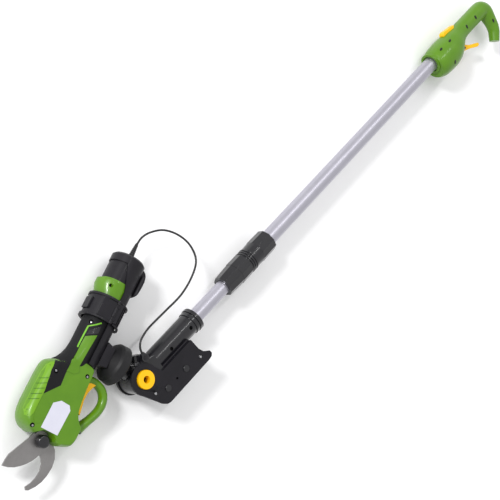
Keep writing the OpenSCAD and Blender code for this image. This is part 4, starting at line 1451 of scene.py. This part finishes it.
# ------------------------------------------------------------------ cradle and battery
@dataclass
class CradleDress:
    """The bulge of the cradle, the battery's slots and ribs, the strap's rims and the cord's boot.

    Attributes:
        paints: the materials.
        axis_v: middle of the cradle and the strap.
        end: where the cup closes along the shear.
        case: radius of the battery's case.
        case_v: middle of the battery's case.
        strap_u: middle of the strap along the shear.
    """

    paints: Paints
    axis_v: float = 2.0
    end: float = 290.0
    case: float = 23.3
    case_v: float = 2.6
    strap_u: float = 202.0

    def _around(self, u: float, v: float, turn: float, radius: float) -> Matrix:
        """Stands a piece on a cylinder that lies along the shear.

        Args:
            u: its place along the shear.
            v: the cylinder's middle.
            turn: how far it goes round from the top, in degrees.
            radius: the cylinder's radius.

        Returns:
            The placement.
        """
        return (
            Matrix.Translation((u, v, 0))
            @ Matrix.Rotation(math.radians(-turn), 4, "X")
            @ Matrix.Translation((0, 0, radius))
        )

    def _boot(self) -> bpy.types.Object:
        """Makes the ribbed boot on the cord.

        Returns:
            The boot.
        """
        boot = Shape(SHEAR_FRAME)
        profile: list[Point2] = [
            (self.end - 2, 0), (self.end - 2, 5.2), (self.end + 3.4, 5.2), (self.end + 4, 4.6),
        ]
        for k in range(7):
            low = self.end + 4.4 + 3.1 * k
            r = 4.3 - 0.26 * k
            profile += [(low, r - 0.5), (low + 0.4, r), (low + 1.9, r - 0.1), (low + 2.3, r - 0.55)]
        profile += [(self.end + 27.4, 2.1), (self.end + 27.8, 1.7), (self.end + 27.8, 0)]
        boot.turn(profile, 32, lying(0, self.axis_v, 0))
        return boot.done("cord_boot", self.paints, JACKET, "head", ["strain_relief"], sharp=45)

    def _case(self) -> None:
        """Makes the slots and ribs seen on the battery beside the cradle's lip."""
        dark = Shape(SHEAR_FRAME)
        for u, long, turn in ((269, 7, 25), (269, 7, 17), (261, 15, -3)):
            at = self._around(u, self.case_v, turn, self.case - 0.1)
            dark.slab(plate(-long / 2, long / 2, -0.75, 0.75), 0, 1.0, 0.15, 2, at)
        dark.done("battery_slots", self.paints, GLOSS_BLACK, "head")
        ribs = Shape(SHEAR_FRAME)
        for k in range(6):
            at = self._around(252 + 3.2 * k, self.case_v, -20, self.case + 0.1)
            ribs.slab(plate(-0.5, 0.5, -5, 5.4), 0, 0.9, 0.2, 2, at)
        ribs.done("battery_ribs", self.paints, CHARCOAL, "head")

    def _strap(self) -> None:
        """Makes the strap's flat outer face and rims, and the fixed part beyond its hinge with two bars."""
        for name, body, sense, edge, near, far in (
            ("strap_rims", "band", 1, 0.6, -7.5, 15.0), ("hinge_rims", "head", -1, 4.2, -17.0, -9.6),
        ):
            face = Shape(SHEAR_FRAME)
            for u in (184.2, 216.8):
                r = 29.0
                ring = [
                    (u, r - 1.4), (u + 3, r - 1.4), (u + 3, r + 1.2), (u + 2.5, r + 1.7),
                    (u + 0.5, r + 1.7), (u, r + 1.2),
                ]
                verts = face.turn(ring, 96, lying(0, self.axis_v, 0), closed=True)
                geom = list(verts) + list({e for v in verts for e in v.link_edges})
                geom += list({f for v in verts for f in v.link_faces})
                for spot, way in (((0, 0, 1.5), (0, 0, -1)), ((0, sense * edge, 0), (0, -sense, 0))):
                    bmesh.ops.bisect_plane(
                        face.bm, geom=[g for g in geom if g.is_valid], dist=1e-4, plane_co=spot, plane_no=way,
                        clear_outer=True,
                    )
                    geom = list(face.bm.verts) + list(face.bm.edges) + list(face.bm.faces)
            bmesh.ops.holes_fill(face.bm, edges=[e for e in face.bm.edges if e.is_boundary], sides=0)
            bmesh.ops.recalc_face_normals(face.bm, faces=face.bm.faces[:])
            if sense < 0:
                for k in (0, 1):
                    at = self._around(self.strap_u, self.axis_v, -31 - 10 * k, 27.6)
                    face.slab(plate(-15, 15, -1.2, 1.2), 0, 2.6, 0.5, 3, at)
            at = self._around(self.strap_u, self.axis_v, 12, 27.8)
            face.slab(plate(-14.8, 14.8, near, far), -2.0, 1.2, 0.9, 3, at)
            face.done(name, self.paints, CHARCOAL, body)

    def _flank(self) -> None:
        """Makes the rounded bulge on the hinge side of the cradle."""
        flank = Shape(SHEAR_FRAME)
        outline = rounded((
            (236, -16), (240, -23), (247, -29.5), (256, -31.6), (268, -32), (277, -31), (283, -27.6),
            (286, -22), (287, -16), (262, -14),
        ), 3)
        flank.slab(outline, -14, 10.5, 3.2, 5)
        flank.done("cradle_flank", self.paints, CHARCOAL, "head")

    def build(self) -> bpy.types.Object:
        """Makes the pieces.

        Returns:
            The boot on the cord.
        """
        boot = self._boot()
        self._case()
        self._flank()
        self._strap()
        return boot


# ------------------------------------------------------------------ the bracket
@dataclass
class BracketDress:
    """The web, bosses and screws of the bracket's side plate.

    Attributes:
        paints: the materials.
        top: height of the plate's face above the pole's axis.
        bosses: where the two bosses stand.
        screws: where the two screws go in.
    """

    paints: Paints
    top: float = 23.0
    bosses: Sequence[Point2] = ((21, -36), (63, -36))
    screws: Sequence[Point2] = ((94, -41), (0, -27.5))

    def build(self) -> None:
        """Makes the small pieces."""
        top = self.top
        web = Shape(POLE_FRAME)
        web.slab([(27, -17), (96, -17), (98, -12), (96, -7.5), (27, -7.5)], 7, 18.2, 1.4, 4)
        web.done("plate_web", self.paints, CHARCOAL, "lower_pole")
        caps = Shape(POLE_FRAME)
        cap = [(top - 0.6, 0), (top - 0.6, 5.2), (top + 1.1, 5.2), (top + 1.8, 4.6), (top + 1.8, 0)]
        for x, y in self.bosses:
            caps.turn(cap, 40, standing(x, y, 0))
        caps.done("plate_bosses", self.paints, GLOSS_BLACK, "lower_pole")
        rings = Shape(POLE_FRAME)
        ring = [(top - 2, 3.55), (top + 0.35, 3.55), (top + 0.6, 3.3), (top + 0.35, 3.0), (top - 2, 3.0)]
        for x, y in self.screws:
            rings.turn(ring, 36, standing(x, y, 0), closed=True)
        rings.done("plate_screw_rings", self.paints, GLOSS_BLACK, "lower_pole")
        heads = Shape(POLE_FRAME)
        screws = Screws(2.2, 1.1)
        for x, y in self.screws:
            screws.add(heads, x, y, top - 0.9)
        heads.done("plate_screw_heads", self.paints, ZINC, "lower_pole", ["plate_screws"])


@dataclass
class Dressing:
    """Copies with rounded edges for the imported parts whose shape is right, and finishes for the rest."""

    paints: Paints
    copies: Sequence[tuple[str, str, Finish, float, Matrix]] = (
        ("side_plate", "lower_pole", CHARCOAL, 0.8, POLE_FRAME),
        ("bracket_upper", "lower_pole", GLOSS_BLACK, 0.6, POLE_FRAME),
        ("bracket_lower", "lower_pole", GLOSS_BLACK, 0.6, POLE_FRAME),
        ("tilt_button", "button", AMBER, 0.7, POLE_FRAME),
        ("cord_clip", "lower_pole", GLOSS_BLACK, 0.5, POLE_FRAME),
        ("thumb_lug", "lower_pole", ZINC, 0.3, POLE_FRAME),
        ("thumb_screw", "thumb", GLOSS_BLACK, 0.35, POLE_FRAME),
        ("arm", "head", GLOSS_BLACK, 0.6, POLE_FRAME),
        ("cradle", "head", CHARCOAL, 0.6, SHEAR_FRAME),
        ("cradle_cup", "head", CHARCOAL, 0.6, SHEAR_FRAME),
        ("strap", "band", CHARCOAL, 0.5, SHEAR_FRAME),
        ("strap_latch", "band", CHARCOAL, 0.5, SHEAR_FRAME),
        ("rear_collar", "head", GREEN, 0.6, SHEAR_FRAME),
        ("battery_case", "head", CHARCOAL, 0.6, SHEAR_FRAME),
        ("shear_trigger", "shear_lever", AMBER, 0.8, SHEAR_FRAME),
        ("moving_blade", "cutter", BLADE, 0.25, SHEAR_FRAME),
        ("fixed_blade", "head", BLADE, 0.25, SHEAR_FRAME),
    )
    finishes: Sequence[tuple[str, Finish]] = (
        ("glide_bush", CHARCOAL), ("clamp_collet", CHARCOAL), ("tube_anchor", CHARCOAL),
        ("handle_switch", CHARCOAL), ("trigger_spring", ZINC),
        # the bracket's screws take the near-black painted shade of their holes
        ("bracket_screws", PIT_SHADE), ("hinge_pin", BRONZE), ("hinge_nut", ZINC),
        ("tilt_spring", ZINC), ("clip_screw", BLACKED_STEEL_AND_WELL_SHADE), ("bell_nut", BELL_RUBBER), ("strap_pin", BLACKED_STEEL_AND_WELL_SHADE),
        ("battery_cells", WRAP), ("battery_contacts", ZINC),
        ("control_board", BOARD), ("drive_motor", ZINC), ("gearbox", GEAR), ("drive_pinion", ZINC),
        ("pivot_bolt", ZINC), ("shear_spring", ZINC),
    )

    def build(self) -> None:
        """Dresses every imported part."""
        for node, body, finish, edge, frame in self.copies:
            shape = Shape(frame)
            shape.node(node, edge, 2)
            shape.done(node + "_body", self.paints, finish, body, [node])
        for node, finish in self.finishes:
            mesh = bpy.data.objects[node].data
            mesh.materials.clear()
            mesh.materials.append(self.paints.get(finish))


def main() -> None:
    """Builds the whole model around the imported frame."""
    logging.basicConfig(level=logging.INFO, format="%(message)s")
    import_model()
    paints = Paints()
    Studio().build()
    cord = LinkCord()
    lead = cord.build(paints)
    Pole(paints).build()
    ShearBody(paints).build()
    Handle(paints).build()
    BracketDress(paints).build()
    boot = CradleDress(paints).build()
    Dressing(paints).build()
    cord.declare()


if __name__ == "__main__":
    main()
